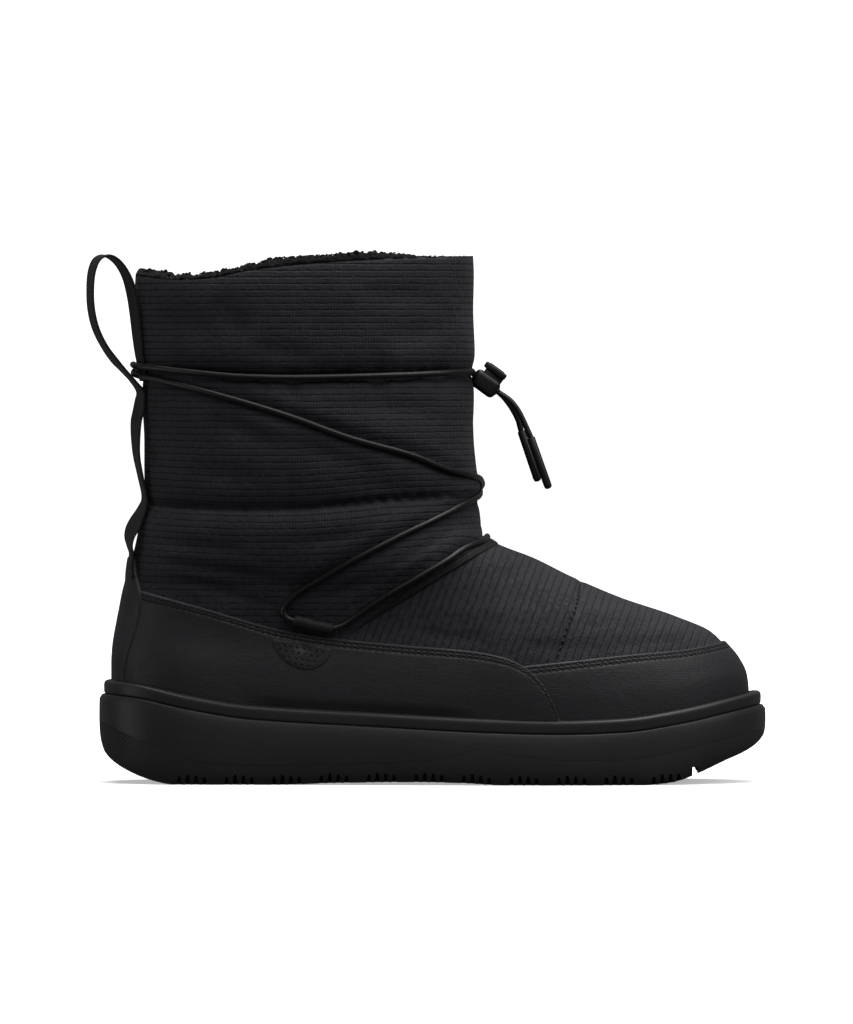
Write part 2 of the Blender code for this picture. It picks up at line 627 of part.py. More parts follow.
def stay_prism(name, margin):
    """The back strip's outline, drawn through the heel."""
    width = curve_through(STAY_WIDTHS, "half")
    heights = np.linspace(STAY_WIDTHS[0].z, STAY_WIDTHS[-1].z, STAY_POINTS)
    right = [(float(width(z)) + margin, z) for z in heights]
    left = [(-y, z) for y, z in right[::-1]]
    return add_cutter(name, outline_prism(right + left, SOLE_BACK - BEYOND, STAY_FRONT, 0))


def build_guards():
    """Side guard, toe guard and heel stay: each cut from a band on the upper by its outline."""
    front = GUARD_EDGE[-1].x
    under_edge = edge_points(guard_edge, GUARD_EDGE)
    outline = under_edge + [(front, OUTLINE_FLOOR), (GUARD_EDGE[0].x, OUTLINE_FLOOR)]
    clearance = stay_prism("stay_clearance", GAP)
    for name, start, end in (("outer", -BEYOND, -GUARD_SPLIT), ("inner", GUARD_SPLIT, BEYOND)):
        side = add_mesh(f"side_guard_{name}", overlay_band(GUARD, GUARD_CLEARANCE), "guard_leather")
        prism = outline_prism(outline, start, end, 1)
        boolean(side, add_cutter(f"side_outline_{name}", prism), "INTERSECT")
        boolean(side, clearance, "DIFFERENCE", "MANIFOLD")

    behind = [(x + GAP, z + GAP) for x, z in under_edge[::-1] if x > TOE_EDGE[0].x and z < toe_edge(x)]
    cap_edge = [point for point in edge_points(toe_edge, TOE_EDGE) if point[0] > behind[-1][0] + 1]
    toe_outline = cap_edge + [(TOE_EDGE[-1].x, OUTLINE_FLOOR), (front + GAP, OUTLINE_FLOOR)] + behind
    toe = add_mesh("toe_guard", overlay_band(GUARD, GUARD_CLEARANCE), "guard_leather")
    boolean(toe, add_cutter("toe_outline", outline_prism(toe_outline, -BEYOND, BEYOND, 1)), "INTERSECT")

    stay = add_mesh("heel_stay", overlay_band(STAY, GUARD_CLEARANCE), "guard_leather")
    boolean(stay, stay_prism("stay_outline", 0.0), "INTERSECT")


def build_hem():
    """The raised seam from side to side over the instep."""
    upper_edge = edge_points(hem_line, HEM_LINE, HEM_HALF_WIDTH * HEM_SLANT)
    lower_edge = edge_points(hem_line, HEM_LINE, -HEM_HALF_WIDTH * HEM_SLANT)
    hem = add_mesh("instep_hem", overlay_band(HEM, HEM_CLEARANCE), "quilted_cloth")
    prism = outline_prism(upper_edge + lower_edge[::-1], -BEYOND, BEYOND, 1)
    boolean(hem, add_cutter("hem_outline", prism), "INTERSECT")


def surface_radius():
    """What a taut cord lies on: distances from the shaft's middle line, by height and turn from the front."""
    heights = np.arange(*LACED_HEIGHTS, SURFACE_STEP)
    rings, outward, swell = upper_form(heights, 2 * AROUND, seam_depth=0.0)
    skin = rings + outward * swell
    angles = np.linspace(-math.pi, math.pi, SURFACE_ANGLES)
    table = []
    for ring in skin:
        turn = np.arctan2(ring[:, 1], ring[:, 0] - SHAFT_AXIS)
        order = np.argsort(turn)
        reach = np.hypot(ring[:, 0] - SHAFT_AXIS, ring[:, 1])
        table.append(np.interp(angles, turn[order], reach[order], period=2 * math.pi))
    return heights, angles, np.array(table)


class Surface:
    """Places on the upper's outside, by angle about the shaft and height."""

    def __init__(self):
        self.heights, self.angles, self.radii = surface_radius()

    def radius(self, angle, z):
        angle = (angle + math.pi) % (2 * math.pi) - math.pi
        by_height = [np.interp(angle, self.angles, row) for row in self.radii]
        return float(np.interp(z, self.heights, by_height))

    def place(self, angle, z):
        reach = self.radius(angle, z)
        return np.array([SHAFT_AXIS + reach * math.cos(angle), reach * math.sin(angle), z])

    def outside(self, angle, z, lift):
        """The point this far off the surface, square to it."""
        turn = math.pi / SURFACE_ANGLES
        around = self.place(angle + turn, z) - self.place(angle - turn, z)
        upward = self.place(angle, z + SURFACE_STEP / 2) - self.place(angle, z - SURFACE_STEP / 2)
        normal = np.cross(around, upward)
        return self.place(angle, z) + lift * normal / np.linalg.norm(normal)

    def angle_of(self, x, z, sign):
        """The angle at which the surface has this x, on one side."""
        half_turn = np.linspace(0, math.pi, SURFACE_ANGLES // 2 + 1)
        along = np.array([self.place(sign * angle, z)[0] for angle in half_turn])
        return sign * float(np.interp(-x, -along, half_turn))


def spline(points, step):
    """Points about a step apart on a smooth curve through these points, of any dimension."""
    points = np.array(points, float)
    padded = np.vstack([2 * points[0] - points[1], points, 2 * points[-1] - points[-2]])
    fine = []
    for a, b, c, d in zip(padded, padded[1:], padded[2:], padded[3:]):
        for t in np.linspace(0, 1, FINE, endpoint=False):
            fine.append(b + 0.5 * t * (c - a + t * (2 * a - 5 * b + 4 * c - d + t * (3 * (b - c) + d - a))))
    fine.append(points[-1])
    fine = np.array(fine)
    run = np.concatenate([[0], np.cumsum(np.linalg.norm(np.diff(fine, axis=0), axis=1))])
    even = np.linspace(0, run[-1], max(2, round(run[-1] / step) + 1))
    return np.column_stack([np.interp(even, run, column) for column in fine.T])


def lace_stops():
    """The lace from the lock's outer hole round the boot to its inner hole, as stops with their side."""
    def on(side, stops):
        return [(side, stop) for stop in stops]

    outer, inner = -1, 1
    low = LOW_DIAGONAL + KEEPER_RUN + INSTEP_RUN
    return (
        on(outer, TOP_RUN + BACK_LOW_OUTER + BACK_LOW)
        + on(inner, BACK_LOW_INNER + HIGH_DIAGONAL + FRONT_UNDER)
        + on(outer, low + INSTEP_TOP)
        + on(inner, low[::-1] + FRONT_OVER)
        + on(outer, HIGH_DIAGONAL[::-1] + BACK_HIGH_OUTER + BACK_HIGH)
        + on(inner, BACK_HIGH_INNER + TOP_RUN[::-1])
    )


def lace_route(surface):
    """Points of the lace's centre line in space, from the lock and back to it."""
    turns = []
    for side, stop in lace_stops():
        angle = surface.angle_of(stop.x, stop.z, side)
        if turns:
            angle += 2 * math.pi * round((turns[-1][0] - angle) / (2 * math.pi))
        turns.append((angle, stop.z / SHAFT_AXIS, stop.lift / SHAFT_AXIS))
    way = spline(turns, CORD_TURN)
    on_boot = [surface.outside(a, z * SHAFT_AXIS, lift * SHAFT_AXIS + CORD_OFF) for a, z, lift in way]
    face = -TOGGLE_SIZE[0] / 2 - GAP
    start, near_start = (toggle_point(face - back, -HOLE_SPACING, 0) for back in (0, LOCK_LEAD))
    end, near_end = (toggle_point(face - back, HOLE_SPACING, 0) for back in (0, LOCK_LEAD))
    return np.vstack([start, spline([near_start] + on_boot + [near_end], CORD_STEP), end])


def add_tube(name, points, radius, finish):
    """A cord as a curve with a round section and filled ends."""
    curve = bpy.data.curves.new(name, "CURVE")
    curve.dimensions = "3D"
    curve.bevel_depth = radius * MM
    curve.bevel_resolution = 1
    curve.use_fill_caps = True
    strand = curve.splines.new("POLY")
    strand.points.add(len(points) - 1)
    for point, place in zip(strand.points, points):
        point.co = (*(Vector(place) * MM), 1)
    return add_object(name, curve, finish)


def circle_ring(centre, direction, radius, count):
    """A ring of points about a line."""
    direction = Vector(direction).normalized()
    across = direction.cross(Vector((0, 0, 1)))
    if across.length < 0.1:
        across = direction.cross(Vector((0, 1, 0)))
    across.normalize()
    up = across.cross(direction)
    turns = [2 * math.pi * i / count for i in range(count)]
    return [Vector(centre) + radius * (math.cos(t) * across + math.sin(t) * up) for t in turns]


def build_lace(surface):
    """The lace in one piece, and the webbing keepers that it runs through on both sides."""
    route = lace_route(surface)
    add_tube("lace", route, CORD / 2, "cord")
    for name, side in (("lace_keeper_outer", -1), ("lace_keeper_inner", 1)):
        near = [p for p in spline(route, ROUTE_STEP) if p[2] < KEEPER_CEILING and p[1] * side > 0]
        held = spline([p for p in near if KEEPER_START < p[0] < KEEPER_END], KEEPER_STEP)
        ways = np.gradient(held, axis=0)
        hole = CORD / 2 + 2 * GAP
        outer = [circle_ring(p, way, hole + KEEPER_WALL, TIP_SIDES) for p, way in zip(held, ways)]
        inner = [circle_ring(p, way, hole, TIP_SIDES) for p, way in zip(held, ways)]
        add_mesh(name, loft(outer + inner[::-1], closed=True), "webbing")


def build_tape(surface):
    """One webbing tape: up the shaft's back, out in the pull loop, down to the heel stay in two bulges."""
    turn = math.radians(TAPE_TURN)
    stops = []
    for stop in TAPE_ROUTE:
        x = stop.x
        if x is None:
            x = SHAFT_AXIS - surface.radius(turn - math.pi, stop.z) - GAP - TAPE_THICKNESS / 2 - stop.off
        stops.append((x, stop.z, stop.twist))
    way = spline(stops, TAPE_STEP)
    ahead = np.gradient(way, axis=0)
    about_shaft = Matrix.Rotation(turn, 3, "Z")
    axis = Vector((SHAFT_AXIS, 0, 0))
    rings = []
    for (x, z, twist), (dx, dz, _) in zip(way, ahead):
        tangent = Vector((dx, 0, dz)).normalized()
        width = Matrix.Rotation(math.radians(twist), 3, "Z") @ Vector((0, 1, 0)) * (TAPE_WIDTH / 2)
        depth = width.cross(tangent).normalized() * (TAPE_THICKNESS / 2)
        centre = Vector((x, 0, z))
        near, far = centre - depth, centre + depth
        ring = [near - width, near + width, far + width, far - width]
        rings.append([axis + about_shaft @ (corner - axis) for corner in ring])
    add_mesh("pull_tape", loft(rings, closed=False), "webbing")


def toggle_frame():
    """The lock's own directions: along the cord, across the boot, and out to the button."""
    tilt = math.radians(TOGGLE_TILT)
    along = Vector((math.cos(tilt), 0, -math.sin(tilt)))
    out = Vector((math.sin(tilt), 0, math.cos(tilt)))
    return along, Vector((0, 1, 0)), out


def toggle_point(along, across, out):
    """A place given in the lock's own directions."""
    directions = toggle_frame()
    return Vector(TOGGLE_CENTRE) + along * directions[0] + across * directions[1] + out * directions[2]


def toggle_block(bm, size, low, rounding):
    """A rounded block in the lock's directions, standing out from low."""
    along, across, out = toggle_frame()
    turn = Matrix((along, across, out)).transposed().to_4x4()
    place = Matrix.Translation(toggle_point(0, 0, low + size[2] / 2)) @ turn @ Matrix.Diagonal((*size, 1))
    made = bmesh.ops.create_cube(bm, size=1, matrix=place)["verts"]
    if rounding:
        edges = {edge for vert in made for edge in vert.link_edges}
        bmesh.ops.bevel(bm, geom=list(edges), offset=rounding, segments=2, profile=0.5, affect="EDGES")


def build_toggle():
    """The cord lock: a rounded body with a socket, and the push button with its stem in it."""
    top = TOGGLE_SIZE[2] / 2
    bm = bmesh.new()
    toggle_block(bm, TOGGLE_SIZE, -top, TOGGLE_ROUNDING)
    body = add_mesh("toggle_body", bm, "lock_plastic")
    bm = bmesh.new()
    socket = (BUTTON_STEM[0] + 2 * GAP, BUTTON_STEM[1] + 2 * GAP, SOCKET_DEPTH + SPARE)
    toggle_block(bm, socket, top - SOCKET_DEPTH, 0)
    boolean(body, add_cutter("socket_cutter", bm), "DIFFERENCE")

    bm = bmesh.new()
    toggle_block(bm, BUTTON_CAP, top + BUTTON_OUT, BUTTON_ROUNDING)
    button = add_mesh("toggle_button", bm, "lock_plastic", origin=TOGGLE_CENTRE)
    bm = bmesh.new()
    toggle_block(bm, BUTTON_STEM, top + BUTTON_OUT + STEM_OVERLAP - BUTTON_STEM[2], 0)
    boolean(button, add_cutter("stem_form", bm), "UNION")


def build_free_ends():
    """The two hanging ends of the lace with their moulded tips."""
    ends = [("outer", -1, FREE_END_OUTER, TIP_END_OUTER), ("inner", 1, FREE_END_INNER, TIP_END_INNER)]
    for name, side, stops, tip_end in ends:
        y = side * HOLE_SPACING
        face = TOGGLE_SIZE[0] / 2 + GAP
        start, near_start = (toggle_point(face + out, y, 0) for out in (0, CORD / 2))
        points = [near_start] + [Vector((x, y, z)) for x, z in stops]
        route = np.vstack([start, spline(points, CORD * 1.5)])
        add_tube(f"lace_end_{name}", route, CORD / 2, "cord")
        finish = Vector((tip_end[0], y, tip_end[1]))
        ahead = (finish - points[-1]).normalized()
        begin = points[-1] + GAP * ahead
        reach = (finish - begin).length
        profile = [(0.0, 0.84), (TIP_SHOULDER, 1.0), (reach - TIP_NOSE, 1.0)]
        profile += [(reach - TIP_NOSE / 3, 0.84), (reach, 0.44)]
        rings = [circle_ring(begin + ahead * at, ahead, share * TIP / 2, TIP_SIDES) for at, share in profile]
        add_mesh(f"lace_tip_{name}", loft(rings, closed=False), "lock_plastic")


def main():
    """Clear the scene and build every piece."""
    for old in list(bpy.data.objects):
        bpy.data.objects.remove(old)
    for name in ("winter_boot", "cutters"):
        bpy.context.scene.collection.children.link(bpy.data.collections.new(name))
    bpy.data.collections["cutters"].hide_render = True
    surface = Surface()
    build_outsole()
    build_midsole()
    build_insole()
    build_upper()
    build_guards()
    build_hem()
    build_tape(surface)
    build_lace(surface)
    build_toggle()
    build_free_ends()


main()
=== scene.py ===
"""Dresses the winter boot's solids for the studio: quilted cloth, coated leather, rubber, fleece and cord.

The frame is in metres, +X to the toe, -Y to the outer side and +Z up. Sizes and tables below are in
millimetres, as in the part's own source, and MM makes them metres.
"""

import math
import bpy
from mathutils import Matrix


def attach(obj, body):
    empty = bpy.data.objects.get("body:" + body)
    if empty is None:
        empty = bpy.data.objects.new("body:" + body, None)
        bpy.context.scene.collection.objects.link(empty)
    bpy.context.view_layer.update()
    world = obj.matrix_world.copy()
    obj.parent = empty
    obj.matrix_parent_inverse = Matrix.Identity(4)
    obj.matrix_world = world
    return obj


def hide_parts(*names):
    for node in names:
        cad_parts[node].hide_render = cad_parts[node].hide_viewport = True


bl_info = {
    "name": "Quilted winter boot",
    "version": (1, 0, 0),
    "blender": (4, 5, 0),
    "location": "3D View > Sidebar > Boot",
    "description": "Cloth, guards, sole, fleece and cord of a quilted winter boot, with its studio",
    "category": "Object",
}

from collections import namedtuple

import bmesh
import bpy
import numpy as np
from mathutils import Matrix, Vector, noise

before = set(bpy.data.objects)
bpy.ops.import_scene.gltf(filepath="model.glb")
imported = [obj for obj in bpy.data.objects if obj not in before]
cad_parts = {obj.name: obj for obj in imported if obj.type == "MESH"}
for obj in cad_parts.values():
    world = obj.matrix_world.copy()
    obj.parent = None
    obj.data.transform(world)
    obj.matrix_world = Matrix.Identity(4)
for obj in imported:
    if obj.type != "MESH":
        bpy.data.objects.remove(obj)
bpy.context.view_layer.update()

MM = 0.001
WELD = 1e-7  # in metres: points this close are one
GAP = 0.3  # between pieces that lie on each other
BEYOND = 80.0  # farther than anything on the boot's sides
SPARE = 6.0  # how far a cutter stands out of what it cuts
FINE = 60  # steps of a curve that is measured

# Sole
SOLE_BACK = -137.3
SOLE_FRONT = 142.8
HEEL_ROUND = 44.0
TOE_ROUND = 67.0
HEEL_SQUARE = 2.2
TOE_SQUARE = 2.4
BEAD_HEIGHT = 6.0
PARTING_GAP = 0.05
GROOVE_EDGE = -0.75  # where the side ends and the groove under the bead begins
SIDE_RINGS = 10
BEAD_RINGS = ((GROOVE_EDGE, 1.0, 12), (1.3, 5.9, 16))  # from, to and how many, above the groove
TREAD_SHARES = (0.03, 0.07, 0.12, 0.2, 0.32, 0.46, 0.6, 0.75, 0.9, 1.0)
CUP_DEPTH = 4.3
BOTTOM_INSET = 4.8
END_LENGTH = 30.0
END_STEEPER = 0.8
INSOLE_THICKNESS = 3.0
INSOLE_CLEARANCE = 1.5
LUG_START = -103.0
LUG_PITCH = 19.8
LUG_GROUPS = 11
NOTCH_PITCH = 3.5
NOTCH_WIDTH = 2.7
NOTCH_NARROWS = 0.36
NOTCH_REACH = 9.0
NOTCH_HEIGHTS = (3.4, 4.2, 3.8, 3.2)
NOTCH_BELOW = 1.0
CHANNEL_WIDTH = 3.0
CHANNEL_DEPTH = 2.6
CHANNEL_MARGIN = 17.0
TOE_NOTCH = 112.4
TOE_NOTCH_WIDTH = 2.4
TOE_NOTCH_HEIGHT = 3.2
SOLE_AROUND = 260
SOLE_SHARP = 55
LUG_SHARP = 35

# Upper
WALL = 3.5
RAND = 5.5
FEATHER_MEAN = 30.0
COLLAR = 218.0
COLLAR_FADE = 40.0
SHAFT_AXIS = -50.0
LACED_HEIGHTS = (56.0, 206.0)
SURFACE_STEP = 2.0
SURFACE_ANGLES = 181
LACED_AROUND = 80
AROUND = 360
RING_STEP = 1.05
COLUMNS = 420
HEM_FADE = 12.0
HEM_FRONT = 14.0  # ahead of this the hem lies flatter
HEM_FLATTER = 0.55
HEM_TAPER = 26.0
SEAM_FRONT = 16.0  # towards the front and the back the seams grow shallow
SEAM_BACK = -119.0
SEAM_FADE = 14.0
SEAM_SHALLOW = 0.2
SEAM_DIP = 0.3  # beside a seam the padding dips by this share of its depth, so many times as wide
SEAM_DIP_WIDER = 4.0
SIDE_SWELL = 0.9  # how much fuller the padding is on the shaft's sides than at its front and back
SIDE_REACH = 64.0
LACE_REACH = 17.0  # the padding bulges this far from the lace, and is pressed in close to it
LACE_PRESS = 0.7
LACE_PRESS_REACH = 3.2
LOW_ON_CLOTH = 6  # stops of the low diagonal before it comes to the keeper
UNDER_CORD = 0.5  # the padding rises no more than this under the lace
UNDER_CORD_REACH = 3.4
CREASE_FADE = 2.5
BAFFLE_FLAT = 3
LOW_SEAM_MEAN = 117.0
RIB_FOLLOWS = 26.0  # this near to the lower seam the ribs follow it
VAMP_RIB_LEAN = 22.0
COLLAR_ROLL = ((-0.45, 0.25), (-1.1, 0.35), (-2.5, 0.25))  # out and up from the collar's edge
INNER_RINGS = 24
SCALLOP = 0.9  # the seams run in small arcs between the gathers
SCALLOP_PITCH = 5.7
SCALLOP_BACK = -48.0
VAMP_SEAM_DEPTH = 0.7
VAMP_SEAM_WIDTH = 1.3
WAIST = (-78.0, 22.0)  # where the guards curl in above the bead and leave a dark gap
WAIST_FADE = 14.0
WAIST_CURL = 3.6
OVERLAY_BASE = 27.5
OVERLAY_TOP = 122.0
OVERLAY_STEP = 0.8

# Lining
LINING_AROUND = 480
LINING_HEIGHTS = ((COLLAR - 2, 180.0, 26), (177.0, 34.0, 44))  # from, to and how many rings
LINING_BELOW = 1.0  # how far it reaches below the feather line
FLEECE_ARC = 2.9  # half the width of the roll over the collar
FLEECE_ARC_START = 0.05
FLEECE_ARC_ROWS = 11
FLEECE_SINK = 0.3
FLEECE_FACE = 2.2  # from the upper's inner wall to the fleece's face, and to its back
FLEECE_BACK = 0.5
BACK_ROWS = 3  # the back has one row for this many of the face
CLUMP = 5.0
CLUMP_SHARE = 0.5
LUMP = 2.8
LUMP_HEIGHT = 0.95
LUMP_CUT = 2.4
CURL = 1.1
CURL_HEIGHT = 0.6
CURL_SHIFT = (7, 3, 1)
COLLAR_BAND = 1.0  # below this the lumps stand more to the inside than up
UPRIGHT_BELOW = 0.35
CURLS = 760
CURL_SEED = 11
CURL_INSET = (1.6, 6.2)
CURL_SINK = (0.9, 1.6)
CURL_SIZE = (0.5, 1.0)
CURL_BEND = (3.4, 5.2)
CURL_THICK = (0.28, 0.42)
CURL_FLATTER = 0.6
CURL_STEPS = 7
CURL_SIDES = 4
FOOTBED_AROUND = 240
FOOTBED_EDGE = 0.6
FOOTBED_SHARES = (0.02, 0.98, 20)  # from the edge to the middle
FOOTBED_LUMP = 0.5
FOOTBED_LUMP_SIZE = 3.0

# Guards
GROOVES = (1.7, 3.4)  # stitch lines below a guard's top edge
GROOVE_DEPTH = 0.42
GROOVE_WIDTH = 0.4
EDGE_HIGHLIGHT_WIDTH = 0.45  # width of the painted highlight along a guard's cut edge
EDGE_ROWS = [0, 0.06, 0.16, 0.32, 0.55, 0.85, 1.2, 1.5, 1.7, 1.9, 2.3, 2.8, 3.2, 3.4, 3.6, 4.0, 5.0, 6.5]
EDGE_DEEP = 7.5  # where a guard is less deep its rows lie closer
EDGE_ROUND = 1.2
EDGE_THIN = 0.12
LOWER_ROWS = (0.07, 1.0, 16)
GUARD_OFF = 0.15
GUARD_INSIDE = 0.05
GUARD_LEAST = 1.0
GUARD_SEWN = 6.0  # a guard is sewn where it is at least this deep
SIDE_LIFT = 1.15  # the side guards rise over the toe guard's rear edge
SIDE_LIFT_START = 8.0
SIDE_LIFT_LENGTH = 30.0
TOE_BACK = 38.0
TOE_UNDER = 3.0
TOE_LEAST = 0.8
TOE_SEWN = 7.0
TOE_SEWN_UNDER = 9.0
STAY_BASE = 29.0
STAY_BEHIND = -60.0
STAY_HALF = [0.35, 0.6, 0.8, 0.9, 0.95, 0.985, 1]  # places from its middle to its edge
STAY_OFF = 0.2
STAY_THICKNESS = 1.9
STAY_THIN = 0.1
STAY_ROUND = 1.3
STAY_CROWN = 1.5
STAY_GROOVE = 0.25
STAY_GROOVE_AT = 2.2
PATCH_X = -51.8
PATCH_HALF = 12.4
PATCH_TOP = 4.4
PATCH_DEPTH = 10.6
PATCH_STEPS = 25
PATCH_SEAMS = 4
PATCH_SEAM_TOP = 1.6
PATCH_SEAM_BOTTOM = 2.2
PATCH_SEAM_STEPS = 14
PATCH_LEAN = 38
PATCH_OFF = 2.0

# Hem and stitches
HEM_START = 0.5
HEM_THIN = 0.08
HEM_INSIDE = 0.2
HEM_RIB_ALONG = 1.5
HEM_RIB_ACROSS = 0.6
STITCH_FLAT = 0.32
VAMP_STITCH_STEP = 2.0
VAMP_STITCH_OFF = 0.1
VAMP_STITCH_LARGER = 1.15

# Cord, tape and lock
CORD_OFF = 1.9
CORD_TURN = 0.03
CORD_STEP = 2.5
LACE_STEP = 1.4
LACE_INSIDE = 1.5  # how far the lace runs into the lock
CORD_SIDES = 12
SHAFT_REACH = 50.0  # about the shaft's radius, which makes heights and turns alike
ASIDE = (0, 1, 0.13)  # a direction that no cord starts in
END_THINNER = 0.94  # the hanging ends are pulled thinner
TAPE_WIDTH = 15.0
TAPE_THICKNESS = 1.1
TAPE_STEP = 1.2
TAPE_SELVEDGE = ((0.0, 0.3), (0.2, 0.75), (0.7, 1.0), (1.5, 0.8))  # in from the edge, share of the thickness
TAPE_MIDDLE = 0.8
KEEPER_STEP = 1.0
KEEPER_OUTSIDE = (2.5, 2.2)
KEEPER_INSIDE = (1.9, 1.65)
KEEPER_SIDES = 16
END_STEP = 1.0
TIP_INSIDE = 1.5  # how far the cord ends short of its tip's end
TIP_GUIDES = (0.3, 0.6)
TIP_ROOT = ((0.0, 1.3), (0.02, 1.6), (0.3, 1.7))  # along the tip, and its radius
TIP_NOSE = ((1.6, 1.7), (1.0, 1.62), (0.45, 1.35), (0.12, 0.9), (0.0, 0.3))  # from its end, radius
TIP_SIDES = 20
TIP_SHARP = 50
TAPE_TURN = 8.0  # the tape lies this far round the shaft from its back, towards the outer side
TOGGLE_CENTRE = (25.3, 0.0, 167.4)
TOGGLE_TILT = 36.0
TOGGLE_SIZE = (11.3, 11.0, 7.4)
BUTTON_CAP = (10.5, 9.0, 2.9)
BUTTON_STEM = (8.8, 6.0, 4.8)
BUTTON_OUT = 1.4
LOCK_BODY = (12.1, 11.0, 8.0)
LOCK_AT = (-0.4, 0.0, -0.3)
LOCK_ROUNDING = 2.2
LOCK_SHARP = 60
LOCK_COLLAR = (8.0, 8.2, 0.8)
LOCK_COLLAR_AHEAD = 0.4
LOCK_COLLAR_SINK = 0.36  # so low that the pressed button clears it
RIM_RADIUS = 1.75
RIM_WIRE = 0.4
RIM_SINK = 0.1
RIM_SIDES = 20
RIM_ROWS = 8
CAP_ROUNDING = 0.9
GRIPS = (-2.8, -1.4, 0.0, 1.4, 2.8)
GRIP = (7.0, 0.6, 0.5)
GRIP_ROUNDING = 0.2
STEM_AHEAD = 0.6
STEM_INSIDE = 0.4
STEM_ROUNDING = 0.5
LOCK_COLLAR_ROUNDING = 0.3
HOLE_SPACING = 2.4
LOCK_LEAD = 0.4

Plan = namedtuple("Plan", "x centre half")
SOLE_PLAN = [Plan(*row) for row in (
    (-137, 0.0, 41.0), (-95, 0.0, 42.5), (-55, -1.0, 43.0), (-15, -2.0, 45.6), (25, -1.8, 50.6),
    (62, 0.0, 53.9), (95, 2.6, 52.0), (143, 7.0, 45.0),
)]

Height = namedtuple("Height", "x z")
FEATHER_LINE = [Height(*row) for row in (
    (-134, 43.4), (-121, 42.0), (-100, 37.6), (-74, 33.5), (-20, 30.3), (25, 28.0), (56, 27.3), (82, 28.1),
    (107, 31.7), (124, 35.3), (140, 38.8),
)]
PARTING_LINE = [Height(*row) for row in (
    (-135, 25.2), (-112, 15.5), (-91, 9.0), (-66, 8.2), (-40, 8.8), (-3, 10.1), (10, 11.8), (22, 15.2),
    (39, 12.2), (58, 10.6), (80, 10.6), (110, 15.5), (137, 21.8),
)]
GROUND_LINE = [Height(*row) for row in (
    (-137.3, 20.0), (-135, 13.5), (-131.9, 10.0), (-126.4, 6.4), (-119.3, 3.2), (-112, 1.0), (-105.8, 0.0),
    (-60, 0.0), (-40, 0.7), (-5, 1.2), (14, 0.9), (32, 0.0), (92, 0.0), (103, 1.0), (113, 4.4),
    (124.7, 9.6), (133.6, 13.4), (139, 16.8), (142.8, 21.0),
)]
COLLAR_LINE = [Height(*row) for row in (
    (-122, 212.5), (-104, 210.5), (-90, 211.2), (-75, 214.2), (-55, 216.6), (-20, 219.0), (20, 220.5),
)]
GUARD_EDGE = [Height(*row) for row in (
    (-150, 88.5), (-122.6, 81.5), (-94.9, 74.3), (-61.3, 64.9), (-38.6, 61.2), (-10.9, 58.4), (18.5, 55.9),
    (31.1, 53.6), (39.5, 50.2), (46.2, 45.0), (51.2, 38.0), (56.3, 26.0),
)]
TOE_EDGE = [Height(*row) for row in (
    (34, 49.0), (64.7, 52.1), (85.7, 54.2), (106.7, 55.8), (127.7, 59.4), (150, 66.0),
)]
HEM_LINE = [Height(*row) for row in (
    (-31.4, 63.2), (-10.9, 77.4), (5.9, 88.2), (24.0, 98.6), (42.0, 108.0),
)]
# Lower quilting seam round the shaft
LOW_SEAM = [Height(*row) for row in (
    (-122, 117.4), (-97, 115.9), (-77, 115.2), (-56, 115.4), (-35, 116.8), (-15, 118.8), (12, 119.8),
    (24, 120.2),
)]
# Upper quilting seam, mostly behind the lace
HIGH_SEAM = [Height(*row) for row in (
    (-122, 171.6), (-100, 172.6), (-75, 170.6), (-54, 169.6), (-36, 170.6), (-18, 169.4), (4, 171.4),
    (24, 170.6),
)]
# Stitched seam over the instep, the same on both sides
VAMP_SEAM = [Height(*row) for row in (
    (64.6, 83.6), (62.8, 74.8), (59.6, 67.2), (56.4, 58.0), (54.6, 53.0),
)]

# The share of its height by which the fleece stands over the collar; below it in front
FLEECE_SHARE = [Height(*row) for row in (
    (-122, 0.75), (-95, 0.7), (-78, 0.8), (-65, 1.05), (-24, 1.1), (-8, 0.5), (6, 0.0), (20, -0.3),
)]

Side = namedtuple("Side", "share inset")
SIDE_SHAPE = [Side(*row) for row in (
    (0.0, 3.6), (0.06, 1.9), (0.18, 0.7), (0.4, 0.05), (0.55, 0.0), (0.8, 0.3), (1.0, 0.9),
)]

Bead = namedtuple("Bead", "above inset")
BEAD_SHAPE = [Bead(*row) for row in (
    (-0.75, 1.0), (-0.4, 1.15), (-0.25, 1.7), (0.0, 2.6), (0.25, 2.35), (0.5, 2.15), (1.2, 2.05),
    (3.4, 2.0), (4.6, 2.15), (5.15, 2.6), (5.6, 3.3), (5.9, 4.3),
)]

